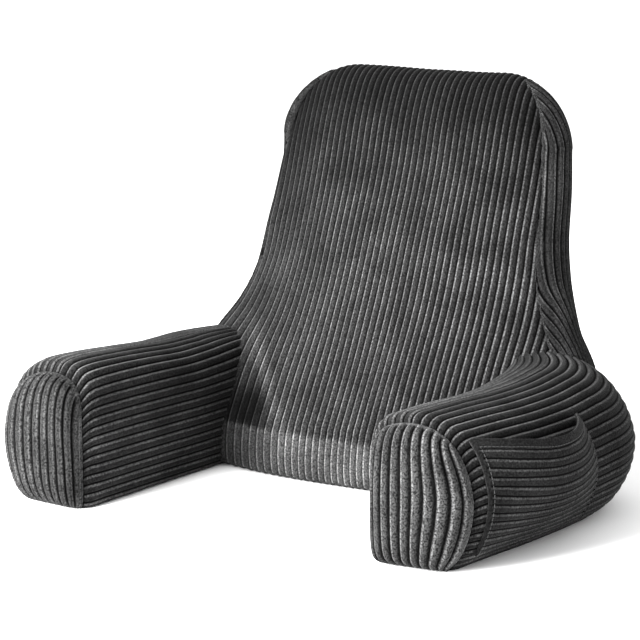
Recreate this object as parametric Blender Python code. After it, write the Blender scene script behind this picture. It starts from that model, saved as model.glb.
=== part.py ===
"""Reading pillow: a backrest with two arms, sewn from wide-rib corduroy and filled."""

import math

import bmesh
import bpy
import numpy as np
from mathutils import Matrix, Vector

# Driving dimensions, in metres.
HEIGHT = 0.500
BASE_DEPTH = 0.188
FRONT_Y = -0.092
NECK_HALF_WIDTH = 0.196
TOP_CORNER_RADIUS = 0.092
CREASE_HEIGHT = 0.060
LEAN_START = 0.63
LEAN_LOSS = 0.45
SQUEEZE_START = 0.30

HALF_GAP = 0.185
ARM_LENGTH = 0.278
ARM_PIVOT_Y = FRONT_Y + 0.033
ARM_TURN_RADIUS = 0.001
LEFT_SPLAY = math.radians(2.0)
RIGHT_SPLAY = math.radians(1.2)
SPLAY_EASE = 0.020
CAP_SKEW = math.radians(3.5)
CAP_CROWN = 0.028
CAP_CROWN_ROUNDNESS = 3.2
CAP_RIM = 0.0015
CAP_EDGE_INSET = 0.0025
CAP_ROWS = 12
CAP_EDGE_CROWDING = math.radians(78)
CAP_GROOVE_RISE = 1.5

RIB_PITCH = 0.011
RIB_DEPTH = 0.0022
ARM_RIB_PITCH = 0.014
ARM_RIB_DEPTH = 0.0028
SEAM_GAP = 0.0003
CUT_GAP = 0.0004
CUTTER_FOOT = -0.020
OUTLINE_POINTS = 241
SHARP_ANGLE = math.radians(35)

GUSSET_SINK = 0.006
GUSSET_CROWN = 0.011
GUSSET_CROWN_POWER = 0.7
GUSSET_RIBS = 6
GUSSET_REACH = 0.012
GUSSET_FOOT_HEIGHT = 0.085
GUSSET_SIDE_STEPS = 12
GUSSET_CORNER_STEPS = 7
GUSSET_CORNER_STEP = math.radians(11.0)
GUSSET_TAPER_POWER = 1.5
GUSSET_TIP_TAPER = 0.08
GUSSET_TIP_WIDTH = 0.16
GUSSET_TIP_CROWN = 0.15
GUSSET_TIP_SINK = 0.45
GUSSET_TIP_SHIFT = 0.010
SEAM_LIP = 0.004
SLOPE_STEP = 0.002

POCKET_THICKNESS = 0.0018
POCKET_RIB_RAISE = 0.0010
POCKET_RIBS = 12
POCKET_EDGE_GAP = 0.0009
POCKET_STAND_OFF = 0.027
POCKET_BELLY_POWER = 0.8
POCKET_RISE_POWER = 1.2

CHARCOAL = (0.035, 0.036, 0.040)
DEEP_CHARCOAL = (0.028, 0.029, 0.032)
PLUSH_ROUGHNESS = 0.9

# Half width of the backrest's side seam at each height.
SEAM_WIDTHS = (
    # height, half width
    (0.000, 0.272),
    (0.110, 0.272),
    (0.150, 0.260),
    (0.195, 0.232),
    (0.245, 0.212),
    (0.305, 0.201),
    (0.370, NECK_HALF_WIDTH),
    (0.500, NECK_HALF_WIDTH),
)

# How far the front and the back draw in towards the side seams at each height.
SIDE_DRAWS = (
    # height, front, back
    (0.000, 0.052, 0.034),
    (0.160, 0.052, 0.034),
    (0.200, 0.050, 0.032),
    (0.250, 0.036, 0.028),
    (0.320, 0.014, 0.024),
    (0.400, 0.006, 0.022),
    (0.500, 0.006, 0.022),
)
DRAW_POWER = 4

# The backrest's section above the leaning face, from the top roll down the back.
ROLL_AND_BACK = (
    # depth behind the front foot, height, share of the front draw, share of the back draw
    (0.1850, 0.466, 0.90, 0.00),
    (0.1960, 0.486, 0.70, 0.10),
    (0.2120, 0.498, 0.50, 0.40),
    (0.2300, 0.499, 0.20, 0.70),
    (0.2450, 0.488, 0.00, 0.90),
    (0.2540, 0.466, 0.00, 1.00),
    (0.2570, 0.430, 0.00, 1.00),
    (0.2550, 0.380, 0.00, 1.00),
    (0.2500, 0.320, 0.00, 1.00),
    (0.2410, 0.265, 0.00, 1.00),
    (0.2310, 0.222, 0.00, 1.00),
    (0.2210, 0.186, 0.00, 1.00),
    (0.2120, 0.150, 0.00, 1.00),
    (0.2020, 0.110, 0.00, 1.00),
    (0.1920, 0.050, 0.00, 1.00),
    (BASE_DEPTH, 0.000, 0.00, 1.00),
)
LEAN_HEIGHTS = (0.095, 0.130, 0.160, 0.190, 0.225, 0.270, 0.325, 0.380, 0.435)

# The arm's section, as shares of its width and height, from the inner foot to the outer one.
ARM_SECTION = (
    # across, up
    (0.060, 0.000),
    (0.006, 0.045),
    (0.000, 0.300),
    (0.000, 0.600),
    (0.010, 0.810),
    (0.085, 0.940),
    (0.260, 0.995),
    (0.460, 1.000),
    (0.640, 0.965),
    (0.810, 0.870),
    (0.930, 0.720),
    (0.990, 0.560),
    (1.000, 0.440),
    (0.968, 0.280),
    (0.880, 0.115),
    (0.750, 0.000),
)

# The arm along its length: 0 is the cap's seam, 1 the start of the turn behind the backrest.
ARM_STATIONS = (
    # share of length, width, left height, right height, draw-in at the seam
    (0.000, 0.135, 0.168, 0.167, 0.0080),
    (0.015, 0.136, 0.170, 0.168, 0.0030),
    (0.045, 0.139, 0.172, 0.169, 0.0000),
    (0.120, 0.143, 0.174, 0.169, 0.0000),
    (0.300, 0.152, 0.171, 0.167, 0.0000),
    (0.550, 0.164, 0.164, 0.163, 0.0000),
    (0.800, 0.173, 0.157, 0.163, 0.0000),
    (1.000, 0.178, 0.157, 0.168, 0.0000),
)
TURN_STEPS = 8
LEFT_TURN_HEIGHT = 0.168
RIGHT_TURN_HEIGHT = 0.182
ARM_INNER_REACH = 0.060

# The pocket along the arm: 0 is its front seam, 1 its rear seam.
POCKET_START = 0.035
POCKET_END = 0.770
POCKET_MOUTH = (
    # share of the pocket's length, height of the mouth
    (0.00, 0.144),
    (0.20, 0.131),
    (0.45, 0.121),
    (0.70, 0.121),
    (0.88, 0.128),
    (1.00, 0.137),
)
POCKET_BOTTOM = 0.020
POCKET_COLUMNS = 14


def interpolate(rows, column, at):
    """The value of a table's column, read smoothly between its rows."""
    keys = [row[0] for row in rows]
    at = min(max(at, keys[0]), keys[-1])
    last = len(rows) - 1
    i = min(max(k for k, key in enumerate(keys) if key <= at), last - 1)
    before, after = max(i - 1, 0), min(i + 2, last)
    span = keys[i + 1] - keys[i]
    t = (at - keys[i]) / span
    start = (rows[i + 1][column] - rows[before][column]) / (keys[i + 1] - keys[before])
    end = (rows[after][column] - rows[i][column]) / (keys[after] - keys[i])
    h = 3 * t * t - 2 * t * t * t
    value = rows[i][column] * (1 - h) + rows[i + 1][column] * h
    return value + span * (start * t * (1 - t) ** 2 - end * t * t * (1 - t))


def smooth_curve(points, steps=14):
    """Points close together on a smooth curve through the given ones."""
    points = np.array(points, dtype=float)
    padded = np.vstack([2 * points[0] - points[1], points, 2 * points[-1] - points[-2]])
    curve = []
    for i in range(len(points) - 1):
        a, b, c, d = padded[i : i + 4]
        for t in np.arange(steps) / steps:
            bend = (2 * b, c - a, 2 * a - 5 * b + 4 * c - d, 3 * b - a - 3 * c + d)
            curve.append(0.5 * (bend[0] + bend[1] * t + bend[2] * t**2 + bend[3] * t**3))
    curve.append(points[-1])
    return np.array(curve)


def along(curve, count):
    """Evenly spaced points on a curve, with the directions to the right of its run."""
    steps = np.linalg.norm(np.diff(curve, axis=0), axis=1)
    distance = np.concatenate([[0.0], np.cumsum(steps)])
    at = np.linspace(0.0, distance[-1], count)
    points = np.column_stack([np.interp(at, distance, curve[:, k]) for k in range(2)])
    tangent = np.gradient(points, axis=0)
    tangent /= np.linalg.norm(tangent, axis=1, keepdims=True)
    return points, np.column_stack([tangent[:, 1], -tangent[:, 0]])


def material(name, colour):
    """A cloth material for one sub-part."""
    cloth = bpy.data.materials.new(name)
    cloth.use_nodes = True
    shader = cloth.node_tree.nodes["Principled BSDF"]
    shader.inputs["Base Color"].default_value = (*colour, 1.0)
    shader.inputs["Roughness"].default_value = PLUSH_ROUGHNESS
    shader.inputs["Metallic"].default_value = 0.0
    return cloth


def close_loop(mesh_data, loop, manner):
    """Closes a ring of vertices: from its centre, flat, or from side to side."""
    count = len(loop)
    if manner == "centre":
        centre = mesh_data.verts.new(sum((v.co for v in loop), Vector()) / count)
        for i in range(count):
            mesh_data.faces.new((loop[i], loop[(i + 1) % count], centre))
    elif manner == "flat":
        mesh_data.faces.new(loop)
    else:
        for i in range(count // 2 - 1):
            mesh_data.faces.new((loop[i], loop[i + 1], loop[count - 2 - i], loop[count - 1 - i]))


def new_object(name, rings, collection, ends="centre"):
    """A closed body lofted through rings of points, all of one count."""
    mesh_data = bmesh.new()
    loops = [[mesh_data.verts.new(point) for point in ring] for ring in rings]
    count = len(loops[0])
    for first, second in zip(loops, loops[1:]):
        for i in range(count):
            j = (i + 1) % count
            mesh_data.faces.new((first[i], first[j], second[j], second[i]))
    for loop in (loops[0], loops[-1]):
        close_loop(mesh_data, loop, ends)
    bmesh.ops.triangulate(mesh_data, faces=mesh_data.faces)
    return finished_object(name, mesh_data, collection)


def finished_object(name, mesh_data, collection):
    """Turns the faces outwards, shades them smooth and links the object."""
    bmesh.ops.recalc_face_normals(mesh_data, faces=mesh_data.faces)
    if mesh_data.calc_volume(signed=True) < 0:
        bmesh.ops.reverse_faces(mesh_data, faces=mesh_data.faces)
    mesh = bpy.data.meshes.new(name)
    mesh_data.to_mesh(mesh)
    mesh_data.free()
    mesh.shade_smooth()
    mesh.set_sharp_from_angle(angle=SHARP_ANGLE)
    made = bpy.data.objects.new(name, mesh)
    collection.objects.link(made)
    return made


def hide_cutter(cutter):
    """Marks an object as one that only cuts others."""
    cutter.hide_render = True
    cutter.display_type = "WIRE"


def cut(target, cutter):
    """Takes one solid away from another."""
    boolean = target.modifiers.new("cut by " + cutter.name, "BOOLEAN")
    boolean.operation = "DIFFERENCE"
    boolean.solver = "EXACT"
    boolean.object = cutter


# Backrest.


def seam_half_width(height):
    """Half width of the backrest at its side seam."""
    return interpolate(SEAM_WIDTHS, 1, height)


def top_height(x):
    """Height of the backrest's top above a place on its width."""
    over = max(abs(x) - (NECK_HALF_WIDTH - TOP_CORNER_RADIUS), 0.0)
    over = min(over, TOP_CORNER_RADIUS)
    return HEIGHT - TOP_CORNER_RADIUS + math.sqrt(TOP_CORNER_RADIUS**2 - over**2)


def lean_depth(height):
    """Depth of the leaning face behind the front foot."""
    rise = height - CREASE_HEIGHT
    return LEAN_START * rise - LEAN_LOSS * rise * rise


def backrest_section():
    """The section on the middle line: depth, height, front draw and back draw of each point."""
    band = [(0.0, 0.0), (-0.003, 0.5 * CREASE_HEIGHT), (0.0, CREASE_HEIGHT)]
    lean = [(lean_depth(height), height) for height in LEAN_HEIGHTS]
    front = [(depth, height, 1.0, 0.0) for depth, height in band + lean]
    return front + list(ROLL_AND_BACK)


def backrest_point(share, row):
    """A point of the backrest: share runs from -1 to 1 across its width."""
    depth, height, front_share, back_share = row
    x = share * NECK_HALF_WIDTH
    if height > SQUEEZE_START:
        squeeze = (top_height(x) - SQUEEZE_START) / (HEIGHT - SQUEEZE_START)
        height = SQUEEZE_START + (height - SQUEEZE_START) * squeeze
    x += (seam_half_width(height) - NECK_HALF_WIDTH) * share * abs(share) ** 2
    crown = abs(share) ** DRAW_POWER
    depth += interpolate(SIDE_DRAWS, 1, height) * front_share * crown
    depth -= interpolate(SIDE_DRAWS, 2, height) * back_share * crown
    return Vector((x, FRONT_Y + depth, height))


def make_backrest(collection):
    """The backrest with its upright ribs, which run over the top and down the back."""
    section = backrest_section()
    ribs = round(2 * NECK_HALF_WIDTH / RIB_PITCH)
    columns = 2 * ribs
    middle = Vector((0.0, FRONT_Y + 0.5 * BASE_DEPTH, 0.5 * HEIGHT))
    rings = []
    for i in range(columns + 1):
        share = 2 * i / columns - 1
        ring = [backrest_point(share, row) for row in section]
        if i % 2:
            for k in range(1, len(ring) - 1):
                tangent = ring[k + 1] - ring[k - 1]
                inward = Vector((0.0, tangent.z, -tangent.y)).normalized()
                if inward.dot(middle - ring[k]) < 0:
                    inward = -inward
                ring[k] = ring[k] + inward * RIB_DEPTH
            ring[0] = ring[0] + Vector((0.0, RIB_DEPTH, 0.0))
            ring[-1] = ring[-1] - Vector((0.0, RIB_DEPTH, 0.0))
        rings.append(ring)
    return new_object("backrest", rings, collection, ends="across")


# Side gussets.


def row_height_at(height, top):
    """Height in the middle section that is squeezed to a height where the top is lower."""
    if height <= SQUEEZE_START:
        return height
    stretch = (HEIGHT - SQUEEZE_START) / (top - SQUEEZE_START)
    return SQUEEZE_START + (height - SQUEEZE_START) * stretch


def gusset_side_station(height, corner_start):
    """A place on the upright part of the side outline."""
    ahead = seam_half_width(height + SLOPE_STEP)
    behind = seam_half_width(height - SLOPE_STEP)
    slope = (ahead - behind) / (2 * SLOPE_STEP)
    outward = Vector((1.0, 0.0, -slope)).normalized()
    point = Vector((seam_half_width(height), 0.0, height))
    row_height = row_height_at(height, corner_start)
    front = front_depth(min(row_height, LEAN_HEIGHTS[-1])) + interpolate(SIDE_DRAWS, 1, height)
    rear = back_depth(row_height) - interpolate(SIDE_DRAWS, 2, height)
    return point, outward, front + SEAM_LIP, rear - SEAM_LIP, 1.0


def gusset_stations():
    """Places along the side outline: point, outward direction, front and rear edge, taper."""
    corner_start = HEIGHT - TOP_CORNER_RADIUS
    heights = np.linspace(GUSSET_FOOT_HEIGHT, corner_start, GUSSET_SIDE_STEPS)
    stations = [gusset_side_station(height, corner_start) for height in heights]
    front, rear = stations[-1][2:4]
    ridge = 0.5 * (front + rear)
    half = 0.5 * (rear - front)
    centre = Vector((NECK_HALF_WIDTH - TOP_CORNER_RADIUS, 0.0, corner_start))
    for step in range(1, GUSSET_CORNER_STEPS + 1):
        part = step / GUSSET_CORNER_STEPS
        angle = GUSSET_CORNER_STEP * step
        outward = Vector((math.cos(angle), 0.0, math.sin(angle)))
        point = centre + outward * TOP_CORNER_RADIUS
        taper = 1.0 - (1.0 - GUSSET_TIP_TAPER) * part**GUSSET_TAPER_POWER
        width = half * (GUSSET_TIP_WIDTH + (1.0 - GUSSET_TIP_WIDTH) * taper)
        middle = ridge + GUSSET_TIP_SHIFT * part
        stations.append((point, outward, middle - width, middle + width, taper))
    return stations


def front_depth(row_height):
    """Depth of the backrest's front on the middle line, by the unsqueezed height."""
    rows = [row for row in backrest_section() if row[2] == 1.0]
    return float(np.interp(row_height, [row[1] for row in rows], [row[0] for row in rows]))


def back_depth(row_height):
    """Depth of the backrest's back on the middle line, by the unsqueezed height."""
    rows = [row for row in reversed(backrest_section()) if row[3] == 1.0]
    return float(np.interp(row_height, [row[1] for row in rows], [row[0] for row in rows]))


def gusset_ring(station, side):
    """One ring of a gusset: its ribbed outer face, then its flat inner one."""
    point, outward, front, rear, taper = station
    crown = GUSSET_CROWN * (GUSSET_TIP_CROWN + (1.0 - GUSSET_TIP_CROWN) * taper)
    steps = 2 * GUSSET_RIBS
    levels = []
    for i in range(steps + 1):
        share = i / steps
        out = crown * (1.0 - (2 * share - 1) ** 2) ** GUSSET_CROWN_POWER
        if i % 2:
            out -= RIB_DEPTH * taper
        levels.append((front + (rear - front) * share, out))
    sink = gusset_sink(taper)
    levels += [(rear, -sink), (0.5 * (front + rear), -sink), (front, -sink)]
    return gusset_points(point, outward, levels, side)


def gusset_cutter_ring(station, side):
    """One ring of the recess that takes a gusset, open outwards."""
    point, outward, front, rear, taper = station
    front -= CUT_GAP
    rear += CUT_GAP
    sink = gusset_sink(taper) + CUT_GAP
    levels = [(front, 0.0), (front, GUSSET_REACH), (rear, GUSSET_REACH), (rear, 0.0)]
    levels += [(rear, -sink), (0.5 * (front + rear), -sink), (front, -sink)]
    return gusset_points(point, outward, levels, side)


def gusset_sink(taper):
    """Depth to which a gusset lies in the backrest."""
    return GUSSET_SINK * (GUSSET_TIP_SINK + (1.0 - GUSSET_TIP_SINK) * taper)


def gusset_points(point, outward, levels, side):
    """Points of a ring from pairs of depth and height above the outline."""
    base = Vector((side * point.x, FRONT_Y, point.z))
    return [base + Vector((0.0, y, 0.0)) + mirrored(outward, side) * out for y, out in levels]


def mirrored(vector, side):
    """A direction on the right or left half."""
    return Vector((side * vector.x, vector.y, vector.z))


def make_gusset(name, side, collection, cutters):
    """A ribbed strip that follows the side outline and runs out over the top corner."""
    stations = gusset_stations()
    rings = [gusset_ring(station, side) for station in stations]
    gusset = new_object(name, rings, collection, ends="flat")
    first, last = stations[0], stations[-1]
    past_end = Vector((-last[1].z, 0.0, last[1].x)) * CUT_GAP
    lowered = (first[0] - Vector((0.0, 0.0, CUT_GAP)), *first[1:])
    passed = (last[0] + past_end, *last[1:])
    grown = [lowered, *stations[1:], passed]
    rings = [gusset_cutter_ring(station, side) for station in grown]
    cutter = new_object(name + "_cutter", rings, cutters, ends="flat")
    hide_cutter(cutter)
    return gusset, cutter


# Arms.


def arm_section(width, height, draw, count):
    """Evenly spaced points round an arm, inner foot to outer foot, and directions into it."""
    scaled = []
    for across, up in ARM_SECTION:
        n = draw + across * (width - 2 * draw)
        z = up * (height - draw)
        scaled.append((n, z))
    return along(smooth_curve(scaled), count)


def arm_place(n, z, share, turn):
    """A point beside the arm's inner side, at a share of its length or at a turn angle."""
    if turn is None:
        skewed = ARM_LENGTH - n * math.tan(CAP_SKEW)
        return Vector((n, -(1.0 - share) * skewed, z))
    radius = ARM_TURN_RADIUS + n
    back = ARM_INNER_REACH * max(1.0 - n / ARM_STATIONS[-1][1], 0.0) ** 2
    return Vector((radius * math.cos(turn) - ARM_TURN_RADIUS, (radius + back) * math.sin(turn), z))


def arm_matrix(side):
    """Turns an arm by its splay, sets it beside the backrest and mirrors it for the left."""
    mirror = Matrix.Diagonal((side, 1.0, 1.0, 1.0))
    place = Matrix.Translation((HALF_GAP, ARM_PIVOT_Y, 0.0))
    return mirror @ place


def splayed(point, side):
    """Swings a point of the straight part outwards about the pivot."""
    if point.y >= 0.0:
        return point
    splay = LEFT_SPLAY if side < 0 else RIGHT_SPLAY
    return Matrix.Rotation(splay * min(-point.y / SPLAY_EASE, 1.0), 4, "Z") @ point


def arm_row(share, side):
    """Width, height and draw-in of an arm at a share of its length."""
    height_column = 2 if side < 0 else 3
    return [interpolate(ARM_STATIONS, column, share) for column in (1, height_column, 4)]


def arm_stations(side):
    """Width, height, draw-in, share of length and turn angle of each ring of an arm."""
    rows = [(*arm_row(row[0], side), row[0], None) for row in ARM_STATIONS]
    width, height, draw = arm_row(1.0, side)
    end_height = LEFT_TURN_HEIGHT if side < 0 else RIGHT_TURN_HEIGHT
    for step in range(1, TURN_STEPS + 1):
        part = step / TURN_STEPS
        risen = height + (end_height - height) * part
        rows.append((width, risen, draw, None, 0.5 * math.pi * part))
    return rows


def arm_rib_count():
    """Number of ribs round an arm, from its perimeter at the widest place."""
    points = arm_section(*arm_row(1.0, 1.0), OUTLINE_POINTS)[0]
    perimeter = np.linalg.norm(np.diff(points, axis=0), axis=1).sum()
    return round(perimeter / ARM_RIB_PITCH)


def make_arm(name, side, collection):
    """An arm with lengthwise ribs that turn the corner behind the backrest."""
    count = 2 * arm_rib_count() + 1
    matrix = arm_matrix(side)
    rings = []
    for width, height, draw, share, turn in arm_stations(side):
        points, inward = arm_section(width, height, draw, count)
        points[1::2] += inward[1::2] * ARM_RIB_DEPTH
        ring = []
        for n, z in points:
            ring.append(matrix @ splayed(arm_place(n, max(z, 0.0), share, turn), side))
        rings.append(ring)
    return new_object(name, rings, collection)


def make_arm_cutter(name, side, collection):
    """The arm's outer envelope with a small gap, carried straight down below the floor."""
    count = arm_rib_count() + 1
    matrix = arm_matrix(side)
    rings = []
    for width, height, draw, share, turn in arm_stations(side):
        points, inward = arm_section(width, height, draw, count)
        points = points - inward * CUT_GAP
        inner = int(np.argmin(points[: count // 2, 0]))
        outer = count // 2 + int(np.argmax(points[count // 2 :, 0]))
        points[:inner, 0] = points[inner, 0]
        points[outer:, 0] = points[outer, 0]
        points[0, 1] = CUTTER_FOOT
        points[-1, 1] = CUTTER_FOOT
        rings.append([matrix @ splayed(arm_place(n, z, share, turn), side) for n, z in points])
    shift = Vector((-side * CUT_GAP, 0.0, 0.0))
    rings.append([point + shift for point in rings[-1]])
    cutter = new_object(name, rings, collection)
    hide_cutter(cutter)
    return cutter


def make_cap(name, side, collection):
    """A crowned pad with upright ribs that closes an arm's front end."""
    width, height, draw = arm_row(0.0, side)
    columns = 2 * round((width - 2 * draw) / ARM_RIB_PITCH)
    outline = arm_section(width, height, draw, OUTLINE_POINTS)[0]
    low, high = outline[:, 0].min(), outline[:, 0].max()
    spread = np.sin(np.linspace(-1.0, 1.0, columns + 1) * CAP_EDGE_CROWDING)
    across = low + (high - low) * 0.5 * (1.0 + spread / math.sin(CAP_EDGE_CROWDING))
    across[0] += CAP_EDGE_INSET
    across[-1] -= CAP_EDGE_INSET
    grid = [cap_column(outline, n, i % 2 == 1) for i, n in enumerate(across)]
    return cap_object(name, grid, side, collection)


def cap_column(outline, n, grooved):
    """Points up a cap at one place across it: across, height and crown."""
    low, high = outline[:, 0].min(), outline[:, 0].max()
    foot, top = outline_span(outline, n)
    side_fall = 1.0 - abs(2 * (n - low) / (high - low) - 1.0) ** CAP_CROWN_ROUNDNESS
    column = []
    for k in range(CAP_ROWS + 1):
        part = 0.5 * (1.0 - math.cos(math.pi * k / CAP_ROWS))
        end_fall = 1.0 - abs(2 * part - 1.0) ** CAP_CROWN_ROUNDNESS
        fullness = math.sqrt(max(side_fall, 0.0) * max(end_fall, 0.0))
        crown = CAP_CROWN * fullness
        if grooved and 0 < k < CAP_ROWS:
            crown -= ARM_RIB_DEPTH * min(1.0, CAP_GROOVE_RISE * fullness)
        column.append((n, foot + (top - foot) * part, max(crown, 0.0)))
    return column


def outline_span(outline, n):
    """Lowest and highest point of the arm's outline at a place across it."""
    peak = int(np.argmax(outline[:, 1]))
    branch = outline[: peak + 1] if n < outline[peak, 0] else outline[peak:]
    steps = zip(branch, branch[1:])
    heights = [a[1] for a, b in steps if min(a[0], b[0]) <= n <= max(a[0], b[0])]
    if outline[0, 0] <= n <= outline[-1, 0]:
        return 0.0, max(heights)
    return min(heights), max(heights)


def cap_object(name, grid, side, collection):
    """Closes a crowned face with a flat back and a thin rim."""
    mesh_data = bmesh.new()
    matrix = arm_matrix(side)
    front, back = [], []
    for column in grid:
        front_row, back_row = [], []
        for n, z, crown in column:
            seat = arm_place(n, z, 0.0, None) - Vector((0.0, SEAM_GAP, 0.0))
            back_row.append(mesh_data.verts.new(matrix @ splayed(seat, side)))
            face = seat - Vector((0.0, CAP_RIM + crown, 0.0))
            front_row.append(mesh_data.verts.new(matrix @ splayed(face, side)))
        front.append(front_row)
        back.append(back_row)
    for sheet in (front, back):
        for first, second in zip(sheet, sheet[1:]):
            for k in range(len(first) - 1):
                mesh_data.faces.new((first[k], first[k + 1], second[k + 1], second[k]))
    border = [(i, 0) for i in range(len(grid))]
    border += [(len(grid) - 1, k) for k in range(1, len(grid[0]))]
    border += [(i, len(grid[0]) - 1) for i in range(len(grid) - 2, -1, -1)]
    border += [(0, k) for k in range(len(grid[0]) - 2, 0, -1)]
    for (i, k), (j, m) in zip(border, border[1:] + border[:1]):
        mesh_data.faces.new((front[i][k], front[j][m], back[j][m], back[i][k]))
    return finished_object(name, mesh_data, collection)


# Pocket.


def outer_side(share, height):
    """A point of the arm's outer side at a height, and the direction out of it."""
    width, arm_height, draw = arm_row(share, 1.0)
    points, inward = arm_section(width, arm_height, draw, OUTLINE_POINTS)
    peak = int(np.argmax(points[:, 1]))
    branch = points[peak:][::-1]
    normals = -inward[peak:][::-1]
    n = np.interp(height, branch[:, 1], branch[:, 0])
    out = np.array([np.interp(height, branch[:, 1], normals[:, k]) for k in range(2)])
    return n, out / np.linalg.norm(out)


def make_pocket(name, collection):
    """A patch of ribbed cloth on the right arm's outer side, open at its sagging top."""
    matrix = arm_matrix(1.0)
    rows = 2 * POCKET_RIBS
    outer, inner = [], []
    for i in range(POCKET_COLUMNS + 1):
        part = i / POCKET_COLUMNS
        share = POCKET_START + (POCKET_END - POCKET_START) * part
        mouth = interpolate(POCKET_MOUTH, 1, part)
        outer_column, inner_column = [], []
        for k in range(rows + 1):
            up = k / rows
            z = POCKET_BOTTOM + (mouth - POCKET_BOTTOM) * up
            n, out = outer_side(share, z)
            belly = max(math.sin(math.pi * part), 0.0) ** POCKET_BELLY_POWER
            rise = math.sin(0.5 * math.pi * up) ** POCKET_RISE_POWER
            stand = POCKET_EDGE_GAP + POCKET_STAND_OFF * belly * rise
            raised = POCKET_THICKNESS + (POCKET_RIB_RAISE if k % 2 == 0 else 0.0)
            for column, reach in ((inner_column, stand), (outer_column, stand + raised)):
                place = arm_place(n + out[0] * reach, z + out[1] * reach, share, None)
                column.append(matrix @ splayed(place, 1.0))
        outer.append(outer_column)
        inner.append(inner_column)
    rings = [front + back[::-1] for front, back in zip(outer, inner)]
    return new_object(name, rings, collection, ends="flat")


def main():
    """Makes the sub-parts, cuts the ones that meet and gives each its cloth."""
    for old in list(bpy.data.objects):
        bpy.data.objects.remove(old, do_unlink=True)
    pillow = bpy.data.collections.new("reading_pillow")
    cutters = bpy.data.collections.new("cutters")
    for collection in (pillow, cutters):
        bpy.context.scene.collection.children.link(collection)
    backrest = make_backrest(pillow)
    made = [backrest]
    arm_cutters = []
    for word, side in (("left", -1.0), ("right", 1.0)):
        arm = make_arm("arm_" + word, side, pillow)
        cap = make_cap("arm_cap_" + word, side, pillow)
        arm_cutter = make_arm_cutter("arm_cutter_" + word, side, cutters)
        gusset, gusset_cutter = make_gusset("side_gusset_" + word, side, pillow, cutters)
        cut(gusset, arm_cutter)
        cut(backrest, gusset_cutter)
        arm_cutters.append(arm_cutter)
        made += [arm, cap, gusset]
    for arm_cutter in arm_cutters:
        cut(backrest, arm_cutter)
    made.append(make_pocket("pocket", pillow))
    for piece in made:
        colour = DEEP_CHARCOAL if piece.name.startswith("arm") else CHARCOAL
        piece.data.materials.append(material(piece.name + " corduroy", colour))


main()
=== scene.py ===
"""Reading pillow in charcoal plush corduroy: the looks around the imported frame."""

import math

import bmesh
import bpy
import numpy as np
from bpy.props import FloatProperty, FloatVectorProperty, IntProperty, PointerProperty
from bpy.types import Operator, Panel, PropertyGroup
from mathutils import Matrix, Vector, noise


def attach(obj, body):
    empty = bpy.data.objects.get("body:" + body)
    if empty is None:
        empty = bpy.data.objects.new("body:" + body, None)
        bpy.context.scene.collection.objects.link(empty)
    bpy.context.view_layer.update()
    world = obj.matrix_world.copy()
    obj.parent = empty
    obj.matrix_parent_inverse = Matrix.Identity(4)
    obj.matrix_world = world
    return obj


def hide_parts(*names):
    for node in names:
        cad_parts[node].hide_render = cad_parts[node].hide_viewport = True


bl_info = {
    "name": "Reading Pillow",
    "version": (1, 0, 0),
    "blender": (4, 5, 0),
    "location": "3D View > Sidebar > Pillow",
    "description": "Builds a corduroy reading pillow with arms and a side pocket",
    "category": "Object",
}

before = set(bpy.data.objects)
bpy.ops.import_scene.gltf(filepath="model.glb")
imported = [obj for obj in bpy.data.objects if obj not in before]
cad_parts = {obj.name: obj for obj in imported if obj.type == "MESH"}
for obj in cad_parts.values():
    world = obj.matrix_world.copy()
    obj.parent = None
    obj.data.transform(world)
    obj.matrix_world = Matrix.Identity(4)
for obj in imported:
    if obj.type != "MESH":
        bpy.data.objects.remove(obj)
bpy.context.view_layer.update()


def linear(code):
    """A hex sRGB colour as linear red, green and blue."""
    parts = [int(code[i : i + 2], 16) / 255 for i in (1, 3, 5)]
    return tuple(p / 12.92 if p <= 0.04045 else ((p + 0.055) / 1.055) ** 2.4 for p in parts)


# Shape of the solids and of the cloth over them, in metres.
HEIGHT = 0.500
BASE_DEPTH = 0.188
FRONT_Y = -0.092
NECK_HALF_WIDTH = 0.196
NECK_RIBS = 21.5
TOP_CORNER_RADIUS = 0.092
CREASE_HEIGHT = 0.060
BAND_CROWN = 0.003
LEAN_START = 0.63
LEAN_LOSS = 0.45
LEAN_HEIGHTS = (0.095, 0.130, 0.160, 0.190, 0.225, 0.270, 0.325, 0.380, 0.435)
SQUEEZE_START = 0.30
DRAW_POWER = 4
HALF_GAP = 0.185
ARM_LENGTH = 0.278
ARM_PIVOT_Y = FRONT_Y + 0.033
ARM_TURN_RADIUS = 0.001
LEFT_SPLAY = math.radians(2.0)
RIGHT_SPLAY = math.radians(1.2)
SPLAY_EASE = 0.020
CAP_SKEW = math.radians(3.5)
CAP_CROWN = 0.028
CAP_CROWN_ROUNDNESS = 4.2
CAP_RIM = 0.0015
CAP_CORNER = 0.80
SIDE_PULL = 2.5
LEFT_TURN_HEIGHT = 0.168
RIGHT_TURN_HEIGHT = 0.182
ARM_INNER_REACH = 0.060
GUSSET_SINK = 0.006
GUSSET_CROWN = 0.011
GUSSET_FOOT_HEIGHT = 0.085
STRIP_CORNER_TURN = math.radians(66.0)
LEFT_STRIP_FINER = 1.36
LEFT_STRIP_CROWN = 0.6
STRIP_EASE = 7
STRIP_RISE = 0.0015
STRIP_LIFT = 0.0025
LAP_DEPTH = 0.190
LAP_SINK = 0.0045
LAP_SINK_REACH = 0.004
POCKET_START = 0.035
POCKET_END = 0.770
POCKET_BOTTOM = 0.020
POCKET_THICKNESS = 0.0018
POCKET_EDGE_GAP = 0.0009
POCKET_STAND_OFF = 0.027
HEM_START = 0.925
SIDE_STITCH_INSET = 0.0035

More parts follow.
